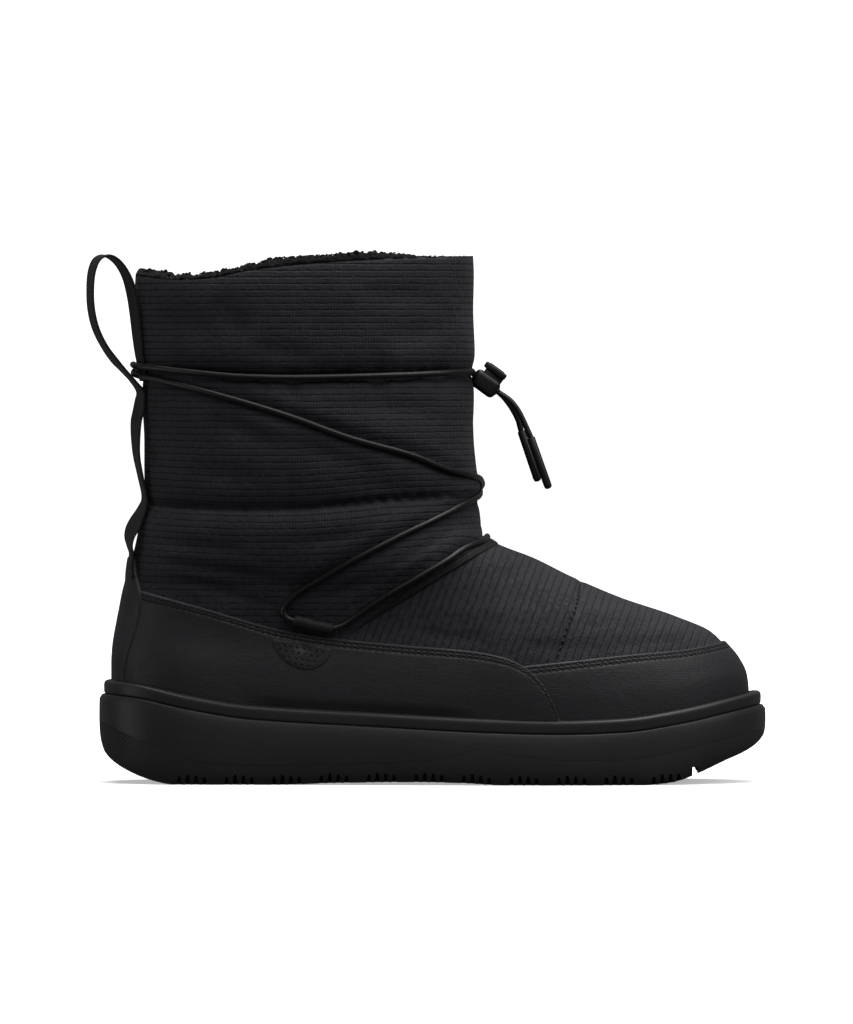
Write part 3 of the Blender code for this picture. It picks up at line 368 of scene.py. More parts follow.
Level = namedtuple("Level", "height slope back front back_round front_round foot spread shaft")
UPPER_LEVELS = [Level(*row) for row in (
    (26, 1.00, -129.9, 134.0, 42, 78, 1.00, 0.985, 46.0),
    (30, 1.00, -130.2, 134.3, 42, 80, 1.00, 1.000, 46.0),
    (38, 0.90, -130.2, 133.6, 43, 84, 1.00, 1.005, 46.0),
    (46, 0.75, -129.9, 130.7, 44, 88, 1.00, 0.995, 46.0),
    (54, 0.55, -129.2, 125.8, 46, 92, 1.00, 0.970, 46.0),
    (62, 0.35, -128.2, 119.2, 48, 100, 0.95, 0.940, 46.0),
    (70, 0.20, -127.0, 103.4, 52, 107, 0.85, 0.920, 46.5),
    (78, 0.10, -125.7, 81.0, 56, 110, 0.72, 0.920, 47.0),
    (86, 0.00, -124.0, 61.8, 60, 107, 0.55, 0.930, 47.5),
    (94, 0.00, -122.2, 45.6, 64, 99, 0.35, 0.950, 48.0),
    (101, 0.00, -120.6, 28.6, 66, 82, 0.18, 0.970, 48.2),
    (108, 0.00, -119.2, 21.2, 67, 72, 0.06, 1.000, 48.4),
    (117, 0.00, -117.6, 20.6, 68, 69, 0.00, 1.000, 48.6),
    (143, 0.00, -116.8, 18.0, 67, 67, 0.00, 1.000, 49.4),
    (170, 0.00, -118.6, 18.4, 68, 68, 0.00, 1.000, 50.4),
    (195, 0.00, -120.0, 18.4, 69, 69, 0.00, 1.000, 51.4),
    (218, 0.00, -122.0, 19.8, 70, 71, 0.00, 1.000, 52.6),
)]

Baffle = namedtuple("Baffle", "bottom top swell")
BAFFLES = [Baffle(84, 117, 1.2), Baffle(117, 170, 1.5), Baffle(170, 218, 1.3)]

Pucker = namedtuple("Pucker", "x width depth up down")
# Gathers that cross the lower seam, with their reach above and below it
LOW_PUCKERS = [Pucker(*row) for row in (
    (-106, 3.2, 0.5, 6, 8), (-97, 2.6, 0.7, 9, 5), (-88, 3.0, 0.4, 5, 9), (-76, 3.4, 0.7, 8, 8),
    (-66, 2.6, 0.5, 6, 5), (-57, 3.0, 0.8, 10, 7), (-48, 2.4, 0.5, 5, 8), (-39, 2.8, 0.7, 8, 5),
    (-32, 2.2, 0.6, 6, 6), (-25, 2.4, 0.9, 9, 7), (-18, 2.0, 0.7, 7, 5), (-11, 2.4, 0.9, 10, 8),
    (-4, 2.0, 0.7, 6, 5), (3, 2.2, 0.8, 8, 7), (10, 2.0, 0.6, 6, 6),
)]
HIGH_PUCKERS = [Pucker(*row) for row in (
    (-101, 3.6, 1.8, 7, 5), (-90, 2.6, 0.8, 5, 7), (-78, 3.0, 0.9, 6, 6), (-67, 2.6, 0.8, 5, 8),
    (-55, 3.6, 1.9, 5, 8), (-44, 2.6, 0.9, 7, 5), (-33, 3.0, 0.9, 5, 7), (-20, 3.8, 2.1, 8, 7),
    (-9, 2.6, 0.8, 5, 5), (5, 3.6, 1.5, 8, 5),
)]

Crease = namedtuple("Crease", "x0 z0 x1 z1 width depth")
# Soft troughs of the cloth on each side; a negative depth is a ridge
CREASES = [Crease(*row) for row in (
    (-114, 93.5, -60, 86.5, 2.4, 1.1), (-110, 86.0, -72, 80.5, 2.0, 1.0),
    (-114, 101.5, -74, 98.0, 2.8, 0.8), (-58, 101.0, -22, 106.0, 3.0, 0.7),
    (-98, 82.5, -62, 74.5, 1.9, 0.9), (-50, 76.0, -26, 84.5, 2.4, 0.8), (-36, 71.5, -20, 80.0, 1.8, 0.4),
    (-14, 92.0, 10, 104.5, 2.6, 0.6), (2, 108.0, 18, 112.0, 2.2, 0.5), (-88, 154.0, -58, 140.0, 5.0, 1.4),
    (-62, 146.5, -14, 128.0, 5.5, 1.5), (-98, 131.0, -66, 127.0, 4.5, 0.9),
    (-40, 126.5, -6, 124.0, 3.4, 0.8), (-34, 160.5, 4, 156.0, 4.5, 1.0),
    (-112, 196.0, -84, 188.0, 6.0, 1.0), (-72, 182.0, -44, 179.0, 4.0, 0.9),
    (-20, 186.0, 8, 190.0, 5.0, 0.8), (-30, 206.0, 6, 203.0, 4.5, 0.7), (-88, 204.0, -74, 186.0, 5.5, 1.1),
    (30, 83.0, 44, 92.0, 4.0, 0.4), (38, 58.5, 74, 57.0, 2.6, 0.5), (76, 58.0, 108, 60.5, 2.4, 0.4),
    (-8, 64.0, 28, 60.5, 2.6, 0.5), (8, 123.0, 30, 123.0, 5.0, -1.2), (4.0, 92.0, 46.0, 113.6, 2.3, 2.6),
)]

Patch = namedtuple("Patch", "share off")
# From the half-round edge to the middle, and back underneath
PATCH_EDGE = [Patch(*row) for row in (
    (1.0, 1.4), (0.99, 1.7), (0.95, 1.85), (0.8, 1.9), (0.5, 1.9), (0.02, 1.9), (0.02, 1.2), (1.0, 1.2),
)]

Fold = namedtuple("Fold", "across rise")
HEM_SECTION = [Fold(*row) for row in (
    (-1.9, 0.0), (-1.85, 0.4), (-1.6, 0.75), (-1.1, 1.0), (-0.4, 1.1), (0.4, 1.0), (1.1, 0.85), (1.6, 0.6),
    (1.9, 0.3), (2.1, 0.0),
)]

StayWidth = namedtuple("StayWidth", "z half")
STAY_WIDTHS = [StayWidth(*row) for row in (
    (20, 19.0), (43, 19.5), (62, 22.0), (76, 21.5), (86, 16.5), (93, 13.0), (95, 11.0),
)]

Stop = namedtuple("Stop", "x z lift")
AHEAD = 200.0
BEHIND = -200.0
OVER_CORD = 2.8 + GAP
TOP_RUN = [
    Stop(17.0, 172.8, 0.5), Stop(8.0, 172.2, 0.0), Stop(-11.0, 171.4, 0.0), Stop(-53.0, 170.2, 0.0),
    Stop(-78.0, 170.9, 0.0), Stop(-95.0, 172.4, 0.0),
]
HIGH_DIAGONAL = [
    Stop(-95.0, 165.2, 0.0), Stop(-74.0, 159.4, 0.0), Stop(-53.0, 152.7, 0.0), Stop(-32.0, 145.0, 0.0),
    Stop(-7.6, 138.0, 0.0), Stop(10.0, 130.8, 0.0),
]
LOW_DIAGONAL = [Stop(*row) for row in (
    (17.4, 118.6, 0.0), (5.9, 112.4, 0.0), (-10.9, 104.2, 0.0), (-27.7, 95.8, 0.0), (-44.5, 86.5, 0.0),
    (-52.9, 81.4, 0.0), (-57.4, 77.2, 0.2), (-59.4, 73.4, 0.7),
)]
KEEPER_RUN = [
    Stop(-58.0, 70.2, 1.1), Stop(-53.0, 68.5, 1.2), Stop(-46.0, 66.6, 1.2), Stop(-40.0, 65.4, 1.2),
    Stop(-35.0, 66.6, 0.9),
]
KEEPER_START = -56.0
KEEPER_END = -38.5
KEEPER_CEILING = 71.0
INSTEP_RUN = [
    Stop(-27.7, 71.8, 0.2), Stop(-10.9, 82.6, 0.0), Stop(5.9, 92.2, 0.0), Stop(18.6, 99.2, -1.0),
]
INSTEP_TOP = [Stop(AHEAD, 103.2, -1.9)]
BACK_HIGH_OUTER = [
    Stop(-106.0, 173.7, 0.4), Stop(-113.0, 174.8, 1.7), Stop(-116.0, 175.3, 2.6), Stop(-117.9, 175.6, 2.5),
]
BACK_HIGH = [Stop(BEHIND, 175.9, 1.4)]
BACK_HIGH_INNER = [
    Stop(-117.9, 175.4, 2.2), Stop(-113.4, 173.4, OVER_CORD + 0.4), Stop(-106.0, 169.2, 0.8),
]
BACK_LOW_OUTER = [
    Stop(-106.0, 167.9, 0.2), Stop(-113.0, 170.3, 1.7), Stop(-116.0, 171.5, 2.5), Stop(-117.9, 172.2, 2.5),
]
BACK_LOW = [Stop(BEHIND, 173.1, 1.4)]
BACK_LOW_INNER = [Stop(-117.9, 173.3, 0.5), Stop(-113.0, 173.5, 0.0), Stop(-106.0, 173.4, 0.0)]
FRONT_UNDER = [Stop(17.4, 126.0, 0.0), Stop(AHEAD, 121.6, 0.0)]
FRONT_OVER = [Stop(17.4, 122.6, OVER_CORD), Stop(AHEAD, 126.6, 0.6)]

TapeStop = namedtuple("TapeStop", "x z off twist")
TAPE_ROUTE = [TapeStop(*row) for row in (
    (None, 168.4, 0.0, 0), (None, 174.0, 0.0, 2), (None, 181.0, 0.1, 5), (None, 188.0, 0.3, 7),
    (None, 197.0, 0.7, 8), (None, 205.0, 1.4, 9), (-126.4, 212.6, None, 7), (-130.2, 218.4, None, 6),
    (-134.6, 221.0, None, 6), (-138.6, 219.6, None, 5), (-140.9, 214.4, None, 4), (-141.6, 206.4, None, 3),
    (-141.1, 198.0, None, 3), (-139.1, 190.0, None, 3), (-135.6, 183.0, None, 3), (-131.3, 177.0, None, 5),
    (-127.6, 172.9, None, 2), (-123.7, 168.6, None, 1), (None, 164.0, 0.7, 5), (None, 160.4, 0.9, 8),
    (None, 156.0, 1.7, 10), (None, 151.5, 2.9, 9), (None, 145.0, 3.4, 6), (None, 137.0, 3.0, 2),
    (None, 129.0, 1.5, 0), (None, 120.0, 0.1, 0), (None, 115.6, 0.8, 6), (None, 111.0, 1.7, 13),
    (None, 107.0, 2.4, 16), (None, 103.0, 3.1, 8), (None, 99.2, 2.3, 0), (None, 95.9, 0.9, -2),
)]
TAPE_TAIL = [TapeStop(None, 91.0, 0.7, 0), TapeStop(None, 86.0, -0.2, 0)]  # tucked under the heel stay

FREE_END_OUTER = [(35.3, 160.2), (38.5, 156.2), (40.8, 151.8), (42.7, 147.6), (43.9, 144.9)]
FREE_END_INNER = [(33.7, 160.4), (36.6, 156.2), (38.7, 152.0), (39.9, 147.6)]
TIP_END_OUTER = (51.6, 123.2)
TIP_END_INNER = (47.1, 126.2)


def linear(code):
    """A colour given as sRGB hex, as the linear values that a shader takes."""
    values = [int(code[i:i + 2], 16) / 255 for i in (1, 3, 5)]
    return tuple(v / 12.92 if v <= 0.04045 else ((v + 0.055) / 1.055) ** 2.4 for v in values)


def curve_through(rows, column):
    """A smooth function through one column of a table, without overshoot and level past its ends."""
    at = np.array([row[0] for row in rows], float)
    value = np.array([getattr(row, column) for row in rows], float)
    step = np.diff(at)
    slope = np.diff(value) / step
    tangent = np.zeros(len(at))
    tangent[0], tangent[-1] = slope[0], slope[-1]
    for i in range(1, len(at) - 1):
        if slope[i - 1] * slope[i] > 0:
            tangent[i] = 2 * slope[i - 1] * slope[i] / (slope[i - 1] + slope[i])

    def read(x):
        x = np.clip(x, at[0], at[-1])
        i = np.clip(np.searchsorted(at, x) - 1, 0, len(step) - 1)
        t = (x - at[i]) / step[i]
        left = value[i] * (1 + 2 * t) + step[i] * tangent[i] * t
        right = value[i + 1] * (3 - 2 * t) + step[i] * tangent[i + 1] * (t - 1)
        return left * (1 - t) ** 2 + right * t ** 2

    return read


sole_centre = curve_through(SOLE_PLAN, "centre")
sole_half = curve_through(SOLE_PLAN, "half")
feather = curve_through(FEATHER_LINE, "z")
parting = curve_through(PARTING_LINE, "z")
ground = curve_through(GROUND_LINE, "z")
collar = curve_through(COLLAR_LINE, "z")
guard_edge = curve_through(GUARD_EDGE, "z")
toe_edge = curve_through(TOE_EDGE, "z")
hem_line = curve_through(HEM_LINE, "z")
low_seam = curve_through(LOW_SEAM, "z")
high_seam = curve_through(HIGH_SEAM, "z")
side_inset = curve_through(SIDE_SHAPE, "inset")
bead_inset = curve_through(BEAD_SHAPE, "inset")
stay_half = curve_through(STAY_WIDTHS, "half")
fleece_share = curve_through(FLEECE_SHARE, "z")
level = {name: curve_through(UPPER_LEVELS, name) for name in Level._fields}


def plan_loop(back, front, back_round, front_round, centre, half, count):
    """An outline from above: front tip, outer side, back tip, inner side, evenly spaced along each side."""
    turn = np.linspace(0, math.pi / 2, FINE)
    toe_x = front - front_round * (1 - np.cos(turn) ** (2 / TOE_SQUARE))
    heel_x = back + back_round * (1 - np.cos(turn[::-1]) ** (2 / HEEL_SQUARE))
    middle_x = np.linspace(toe_x[-1], heel_x[0], FINE)[1:-1]
    x = np.concatenate([toe_x, middle_x, heel_x])
    reach = np.concatenate([
        np.sin(turn) ** (2 / TOE_SQUARE), np.ones(len(middle_x)), np.sin(turn[::-1]) ** (2 / HEEL_SQUARE),
    ])
    sides = []
    for sign in (-1, 1):
        y = centre(x) + sign * half(x) * reach
        run = np.concatenate([[0], np.cumsum(np.hypot(np.diff(x), np.diff(y)))])
        even = np.linspace(0, run[-1], count // 2 + 1)
        sides.append(np.column_stack([np.interp(even, run, x), np.interp(even, run, y)]))
    outer, inner = sides
    return np.vstack([outer, inner[-2:0:-1]])


def upper_ring(height, count):
    """One ring of the upper's smooth outer form, before the quilting swells it."""
    row = {name: float(read(height)) for name, read in level.items()}
    foot = row["foot"]

    def centre(x):
        return foot * sole_centre(x)

    def half(x):
        return foot * (sole_half(x) - RAND) * row["spread"] + (1 - foot) * row["shaft"]

    plan = plan_loop(row["back"], row["front"], row["back_round"], row["front_round"], centre, half, count)
    x = plan[:, 0]
    rise = np.clip((height - COLLAR + COLLAR_FADE) / COLLAR_FADE, 0, 1) ** 2
    z = height + row["slope"] * (feather(x) - FEATHER_MEAN) + rise * (collar(x) - COLLAR)
    return np.column_stack([plan, z])


def upper_form(heights, count):
    """The upper's smooth rings at these heights and their outward directions."""
    rings = np.array([upper_ring(height, count) for height in heights])
    along = np.roll(rings, -1, axis=1) - np.roll(rings, 1, axis=1)
    upward = np.gradient(rings, axis=0)
    outward = np.cross(upward, along)
    return rings, outward / np.linalg.norm(outward, axis=2, keepdims=True)


def plain_swell(heights, rings):
    """The swelling that the part's own solids have, which the lace lies on."""
    swell = np.zeros(rings.shape[:2])
    for baffle in BAFFLES:
        share = np.clip((np.asarray(heights) - baffle.bottom) / (baffle.top - baffle.bottom), 0, 1)
        swell += (baffle.swell * (1 - abs(2 * share - 1) ** BAFFLE_FLAT))[:, None]
    above_hem = np.clip((rings[:, :, 2] - hem_line(rings[:, :, 0])) / HEM_FADE, 0, 1)
    return swell * above_hem


def trough(x, z, crease):
    """A soft trough along a line on the side of the boot, fading out at both ends."""
    start, way = np.array([crease.x0, crease.z0]), np.array([crease.x1 - crease.x0, crease.z1 - crease.z0])
    length = np.linalg.norm(way)
    way = way / length
    along = (x - start[0]) * way[0] + (z - start[1]) * way[1]
    across = (z - start[1]) * way[0] - (x - start[0]) * way[1]
    share = np.clip(along / length, 0, 1)
    fade = np.clip(1 - abs(2 * share - 1) ** CREASE_FADE, 0, 1)
    return crease.depth * fade * np.exp(-(across / crease.width) ** 2)


def gather(x, z, seam, puckers):
    """The gathers across a seam."""
    depth = np.zeros_like(x)
    off = z - seam(x)
    for pucker in puckers:
        reach = np.where(off > 0, pucker.up, pucker.down)
        depth += pucker.depth * np.exp(-((x - pucker.x) / pucker.width) ** 2) * np.exp(-abs(off) / reach)
    return depth


def line_distance(x, z, lines):
    """How far places on the side of the boot are from the nearest of these lines."""
    nearest = np.full(x.shape, BEYOND)
    for line in lines:
        for a, b in zip(line, line[1:]):
            way = np.array([b.x - a.x, b.z - a.z])
            share = np.clip(((x - a.x) * way[0] + (z - a.z) * way[1]) / (way @ way), 0, 1)
            nearest = np.minimum(nearest, np.hypot(x - a.x - share * way[0], z - a.z - share * way[1]))
    return nearest


def cloth_relief(heights, rings, sizes):
    """How far the padded cloth stands out of the smooth form: swelling, seams, gathers, creases, lace."""
    x, z = rings[:, :, 0], rings[:, :, 2]
    relief = plain_swell(heights, rings)
    shaft = np.clip((z - hem_line(x)) / HEM_FADE, 0, 1)
    for seam, puckers in ((low_seam, LOW_PUCKERS), (high_seam, HIGH_PUCKERS)):
        arcs = abs(np.sin(math.pi * x / SCALLOP_PITCH)) * np.clip((x - SCALLOP_BACK) / SEAM_FADE, 0, 1)
        off = (z - seam(x) - SCALLOP * arcs) / (sizes.seam_width / MM)
        cut = np.exp(-off ** 2) + SEAM_DIP * np.exp(-(off / SEAM_DIP_WIDER) ** 2)
        deep = np.clip((SEAM_FRONT - x) / SEAM_FADE, SEAM_SHALLOW, 1)
        deep = deep * np.clip((x - SEAM_BACK) / SEAM_FADE, SEAM_SHALLOW, 1)
        relief -= shaft * (sizes.seam_depth / MM * cut * deep + gather(x, z, seam, puckers))
    for crease in CREASES:
        relief -= trough(x, z, crease)
    sewn = np.exp(-(line_distance(x, z, [VAMP_SEAM]) / VAMP_SEAM_WIDTH) ** 2)
    relief -= (1 - shaft) * VAMP_SEAM_DEPTH * sewn
    beside = line_distance(x, z, [TOP_RUN, HIGH_DIAGONAL, LOW_DIAGONAL[:LOW_ON_CLOTH], INSTEP_RUN])
    bulge = np.exp(-(beside / LACE_REACH) ** 2) - LACE_PRESS * np.exp(-(beside / LACE_PRESS_REACH) ** 2)
    relief += shaft * sizes.lace_bulge / MM * bulge
    side = np.clip(1 - ((x - SHAFT_AXIS) / SIDE_REACH) ** 2, 0, 1)
    plain = plain_swell(heights, rings)
    relief += SIDE_SWELL * side * plain
    return relief - np.maximum(relief - plain - UNDER_CORD, 0) * np.exp(-(beside / UNDER_CORD_REACH) ** 2)


class FootForm:
    """The lower part of the upper as upright columns of points, from which the overlays are cut."""

    def __init__(self):
        self.heights = np.arange(OVERLAY_BASE, OVERLAY_TOP, OVERLAY_STEP)
        rings, outward = upper_form(self.heights, COLUMNS)
        rings = rings + outward * plain_swell(self.heights, rings)[:, :, None]
        half = COLUMNS // 2
        self.points = np.roll(rings, half, axis=1)
        self.normals = np.roll(outward, half, axis=1)
        steps = np.linalg.norm(np.diff(self.points, axis=0), axis=2)
        self.run = np.vstack([np.zeros(COLUMNS), np.cumsum(steps, axis=0)])

    def crossing(self, line):
        """The distance up each column at which it passes a line given by z over x; nan where it doesn't."""
        past = self.points[:, :, 2] - line(self.points[:, :, 0])
        found = np.full(COLUMNS, np.nan)
        for c in range(COLUMNS):
            above = np.nonzero(past[:, c] > 0)[0]
            if len(above) and above[0] > 0:
                i = above[0]
                share = past[i - 1, c] / (past[i - 1, c] - past[i, c])
                found[c] = self.run[i - 1, c] + share * (self.run[i, c] - self.run[i - 1, c])
        return found

    def at(self, column, runs):
        """Points and outward directions at these distances up one column."""
        run = self.run[:, column]
        point = [np.interp(runs, run, self.points[:, column, k]) for k in range(3)]
        normal = [np.interp(runs, run, self.normals[:, column, k]) for k in range(3)]
        return np.column_stack(point), np.column_stack(normal)

    def on_side(self, x, z, side):
        """The place and outward direction on the outer (-1) or inner (1) side at this x and z."""
        half = COLUMNS // 2
        columns = np.arange(1, half) if side > 0 else np.arange(COLUMNS - 1, half, -1)
        runs = [np.interp(z, self.points[:, c, 2], self.run[:, c]) for c in columns]
        found = [self.at(c, np.array([run])) for c, run in zip(columns, runs)]
        places, normals = (np.array([row[k][0] for row in found]) for k in (0, 1))
        column = np.interp(x, places[:, 0], np.arange(len(columns)))
        return [
            np.array([np.interp(column, np.arange(len(columns)), row[:, k]) for k in range(3)])
            for row in (places, normals)
        ]


def spline(points, step):
    """Points about a step apart on a smooth curve through these points, of any dimension."""
    points = np.array(points, float)
    padded = np.vstack([2 * points[0] - points[1], points, 2 * points[-1] - points[-2]])
    fine = []
    for a, b, c, d in zip(padded, padded[1:], padded[2:], padded[3:]):
        for t in np.linspace(0, 1, FINE, endpoint=False):
            fine.append(b + 0.5 * t * (c - a + t * (2 * a - 5 * b + 4 * c - d + t * (3 * (b - c) + d - a))))
    fine.append(points[-1])
    fine = np.array(fine)
    run = np.concatenate([[0], np.cumsum(np.linalg.norm(np.diff(fine, axis=0), axis=1))])
    even = np.linspace(0, run[-1], max(2, round(run[-1] / step) + 1))
    return np.column_stack([np.interp(even, run, column) for column in fine.T])


class Surface:
    """Places on the upper's outside, by angle about the shaft and height."""

    def __init__(self):
        self.heights = np.arange(*LACED_HEIGHTS, SURFACE_STEP)
        rings, outward = upper_form(self.heights, LACED_AROUND)
        skin = rings + outward * plain_swell(self.heights, rings)[:, :, None]
        self.angles = np.linspace(-math.pi, math.pi, SURFACE_ANGLES)
        self.radii = []
        for ring in skin:
            turn = np.arctan2(ring[:, 1], ring[:, 0] - SHAFT_AXIS)
            order = np.argsort(turn)
            reach = np.hypot(ring[:, 0] - SHAFT_AXIS, ring[:, 1])
            self.radii.append(np.interp(self.angles, turn[order], reach[order], period=2 * math.pi))

    def radius(self, angle, z):
        angle = (angle + math.pi) % (2 * math.pi) - math.pi
        by_height = [np.interp(angle, self.angles, row) for row in self.radii]
        return float(np.interp(z, self.heights, by_height))

    def place(self, angle, z):
        reach = self.radius(angle, z)
        return np.array([SHAFT_AXIS + reach * math.cos(angle), reach * math.sin(angle), z])

    def outside(self, angle, z, lift):
        """The point this far off the surface, square to it."""
        turn = math.pi / SURFACE_ANGLES
        around = self.place(angle + turn, z) - self.place(angle - turn, z)
        upward = self.place(angle, z + SURFACE_STEP / 2) - self.place(angle, z - SURFACE_STEP / 2)
        normal = np.cross(around, upward)
        return self.place(angle, z) + lift * normal / np.linalg.norm(normal)

    def angle_of(self, x, z, sign):
        """The angle at which the surface has this x, on one side."""
        half_turn = np.linspace(0, math.pi, SURFACE_ANGLES // 2 + 1)
        along = np.array([self.place(sign * angle, z)[0] for angle in half_turn])
        return sign * float(np.interp(-x, -along, half_turn))


def lace_stops():
    """The lace from the lock's outer hole round the boot to its inner hole, as stops with their side."""
    def on(side, stops):
        return [(side, stop) for stop in stops]

    outer, inner = -1, 1
    low = LOW_DIAGONAL + KEEPER_RUN + INSTEP_RUN
    return (
        on(outer, TOP_RUN + BACK_HIGH_OUTER + BACK_HIGH)
        + on(inner, BACK_HIGH_INNER + HIGH_DIAGONAL + FRONT_UNDER)
        + on(outer, low + INSTEP_TOP)
        + on(inner, low[::-1] + FRONT_OVER)
        + on(outer, HIGH_DIAGONAL[::-1] + BACK_LOW_OUTER + BACK_LOW)
        + on(inner, BACK_LOW_INNER + TOP_RUN[::-1])
    )


def lace_route(surface, step):
    """Points of the lace's centre line in space, from the lock and back to it."""
    turns = []
    for side, stop in lace_stops():
        angle = surface.angle_of(stop.x, stop.z, side)
        if turns:
            angle += 2 * math.pi * round((turns[-1][0] - angle) / (2 * math.pi))
        turns.append((angle, stop.z / SHAFT_REACH, stop.lift / SHAFT_REACH))
    way = spline(turns, CORD_TURN)
    on_boot = [surface.outside(a, z * SHAFT_REACH, lift * SHAFT_REACH + CORD_OFF) for a, z, lift in way]
    face = -TOGGLE_SIZE[0] / 2 - GAP
    start, near_start = (toggle_point(face - back, -HOLE_SPACING, 0) for back in (-LACE_INSIDE, LOCK_LEAD))
    end, near_end = (toggle_point(face - back, HOLE_SPACING, 0) for back in (-LACE_INSIDE, LOCK_LEAD))
    return spline(np.vstack([start, spline([near_start] + on_boot + [near_end], CORD_STEP), end]), step)


def toggle_frame():
    """The lock's own directions: along the cord, across the boot, and out to the button."""
    tilt = math.radians(TOGGLE_TILT)
    along = Vector((math.cos(tilt), 0, -math.sin(tilt)))
    out = Vector((math.sin(tilt), 0, math.cos(tilt)))
    return along, Vector((0, 1, 0)), out


def toggle_point(along, across, out):
    """A place given in the lock's own directions."""
    directions = toggle_frame()
    return Vector(TOGGLE_CENTRE) + along * directions[0] + across * directions[1] + out * directions[2]


def equal_turns(count):
    """A full turn in this many equal steps."""
    return np.arange(count) * 2 * math.pi / count


def grid(bm, points, cloth=None, around=False, ends_meet=False):
    """A grid laid through rows of points in millimetres; its last column or row can close on the first."""
    points = np.asarray(points, float)
    if around:
        points = np.concatenate([points, points[:, :1]], axis=1)
        cloth = None if cloth is None else np.concatenate([cloth, cloth[:, :1]], axis=1)
    if ends_meet:
        points = np.concatenate([points, points[:1]], axis=0)
        cloth = None if cloth is None else np.concatenate([cloth, cloth[:1]], axis=0)
    rows, columns = points.shape[:2]
    layer = bm.verts.layers.float_vector.get("cloth") or bm.verts.layers.float_vector.new("cloth")
    made = bmesh.ops.create_grid(bm, x_segments=columns - 1, y_segments=rows - 1, size=1)["verts"]
    for vert, place in zip(made, points.reshape(-1, 3) * MM):
        vert.co = place
    if cloth is not None:
        for vert, value in zip(made, cloth.reshape(-1, 2) * MM):
            vert[layer] = (value[0], value[1], 0)
    welded = set()
    if around:
        welded.update(made[::columns])
        welded.update(made[columns - 1::columns])
    if ends_meet:
        welded.update(made[:columns])
        welded.update(made[-columns:])
    if welded:
        bmesh.ops.remove_doubles(bm, verts=list(welded), dist=WELD)


def tube(bm, path, radius, sides):
    """A round cord along a path, with its own lengthwise and round-about measure."""
    path = np.asarray(path, float)
    ways = np.gradient(path, axis=0)
    ways /= np.linalg.norm(ways, axis=1, keepdims=True)
    across = np.cross(ways[0], ASIDE)
    rings = []
    for place, way in zip(path, ways):
        across = across - way * (across @ way)
        across /= np.linalg.norm(across)
        up = np.cross(way, across)
        turn = np.arange(sides) * 2 * math.pi / sides
        rings.append(place + radius * (np.outer(np.cos(turn), across) + np.outer(np.sin(turn), up)))
    run = np.concatenate([[0], np.cumsum(np.linalg.norm(np.diff(path, axis=0), axis=1))])
    half_way = np.minimum(np.arange(sides), sides - np.arange(sides)) * 2 * math.pi * radius / sides
    cloth = np.stack(np.meshgrid(half_way, run), axis=2)[:, :, ::-1]
    grid(bm, rings, cloth, around=True)


def add_piece(name, bm, finishes, body="boot", replaces=(), sharp=None):
    """Ends a bmesh as a named object that rides on a body and takes the place of its solids."""
    bmesh.ops.recalc_face_normals(bm, faces=bm.faces)
    mesh = bpy.data.meshes.new(name)
    bm.to_mesh(mesh)
    bm.free()
    mesh.shade_smooth()
    if sharp:
        mesh.set_sharp_from_angle(angle=math.radians(sharp))
    piece = bpy.data.objects.new(name, mesh)
    bpy.context.scene.collection.objects.link(piece)
    for finish in finishes:
        mesh.materials.append(finish)
    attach(piece, body)
    for node in replaces:
        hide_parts(node)
    return piece


def close_ends(bm):
    """Fills the open ends of a shell."""
    bmesh.ops.holes_fill(bm, edges=[edge for edge in bm.edges if edge.is_boundary], sides=0)


def sew(bm, path, normals, sizes, lean=0.0, scale=1.0):
    """A row of stitches along a path that lies on a surface."""
    path, normals = np.asarray(path, float), np.asarray(normals, float)
    run = np.concatenate([[0], np.cumsum(np.linalg.norm(np.diff(path, axis=0), axis=1))])
    real = (sizes.stitch_length, sizes.stitch_gap, sizes.thread)
    length, gap, thread = (scale * size / MM for size in real)
    small = bmesh.new()
    for start in np.arange(0, run[-1] - length, length + gap):
        ends = np.array([[np.interp(at, run, axis) for axis in path.T] for at in (start, start + length)])
        normal = Vector([np.interp(start + length / 2, run, axis) for axis in normals.T]).normalized()
        way = Vector(ends[1] - ends[0]).normalized()
        way = (Matrix.Rotation(math.radians(lean), 3, normal) @ way).normalized()
        across = normal.cross(way).normalized()
        turn = Matrix((way, across, normal)).transposed().to_4x4()
        size = Matrix.Diagonal((length / 2, thread / 2, thread * STITCH_FLAT, 1))
        place = Matrix.Translation(Vector(ends.mean(axis=0)) * MM) @ turn @ (Matrix.Scale(MM, 4) @ size)
        bmesh.ops.create_icosphere(small, subdivisions=1, radius=1, matrix=place)
    mesh = bpy.data.meshes.new("stitches")
    small.to_mesh(mesh)
    small.free()
    bm.from_mesh(mesh)
    bpy.data.meshes.remove(mesh)


def add_node(tree, kind, inputs=None, **settings):
    """Adds one node, with its settings, and fills or links its inputs."""
    made = tree.nodes.new("ShaderNode" + kind)
    for name, value in settings.items():
        setattr(made, name, value)
    for name, value in (inputs or {}).items():
        if isinstance(value, bpy.types.NodeSocket):
            tree.links.new(value, made.inputs[name])
        else:
            made.inputs[name].default_value = value
    return made


def new_material(name, roughness, **sockets):
    """A Principled material with its constant values on the shader's own sockets."""
    made = bpy.data.materials.new(name)
    made.use_nodes = True
    shader = made.node_tree.nodes["Principled BSDF"]
    shader.inputs["Roughness"].default_value = roughness
    for key, value in sockets.items():
        shader.inputs[key.replace("_", " ")].default_value = value
    return made, made.node_tree, shader


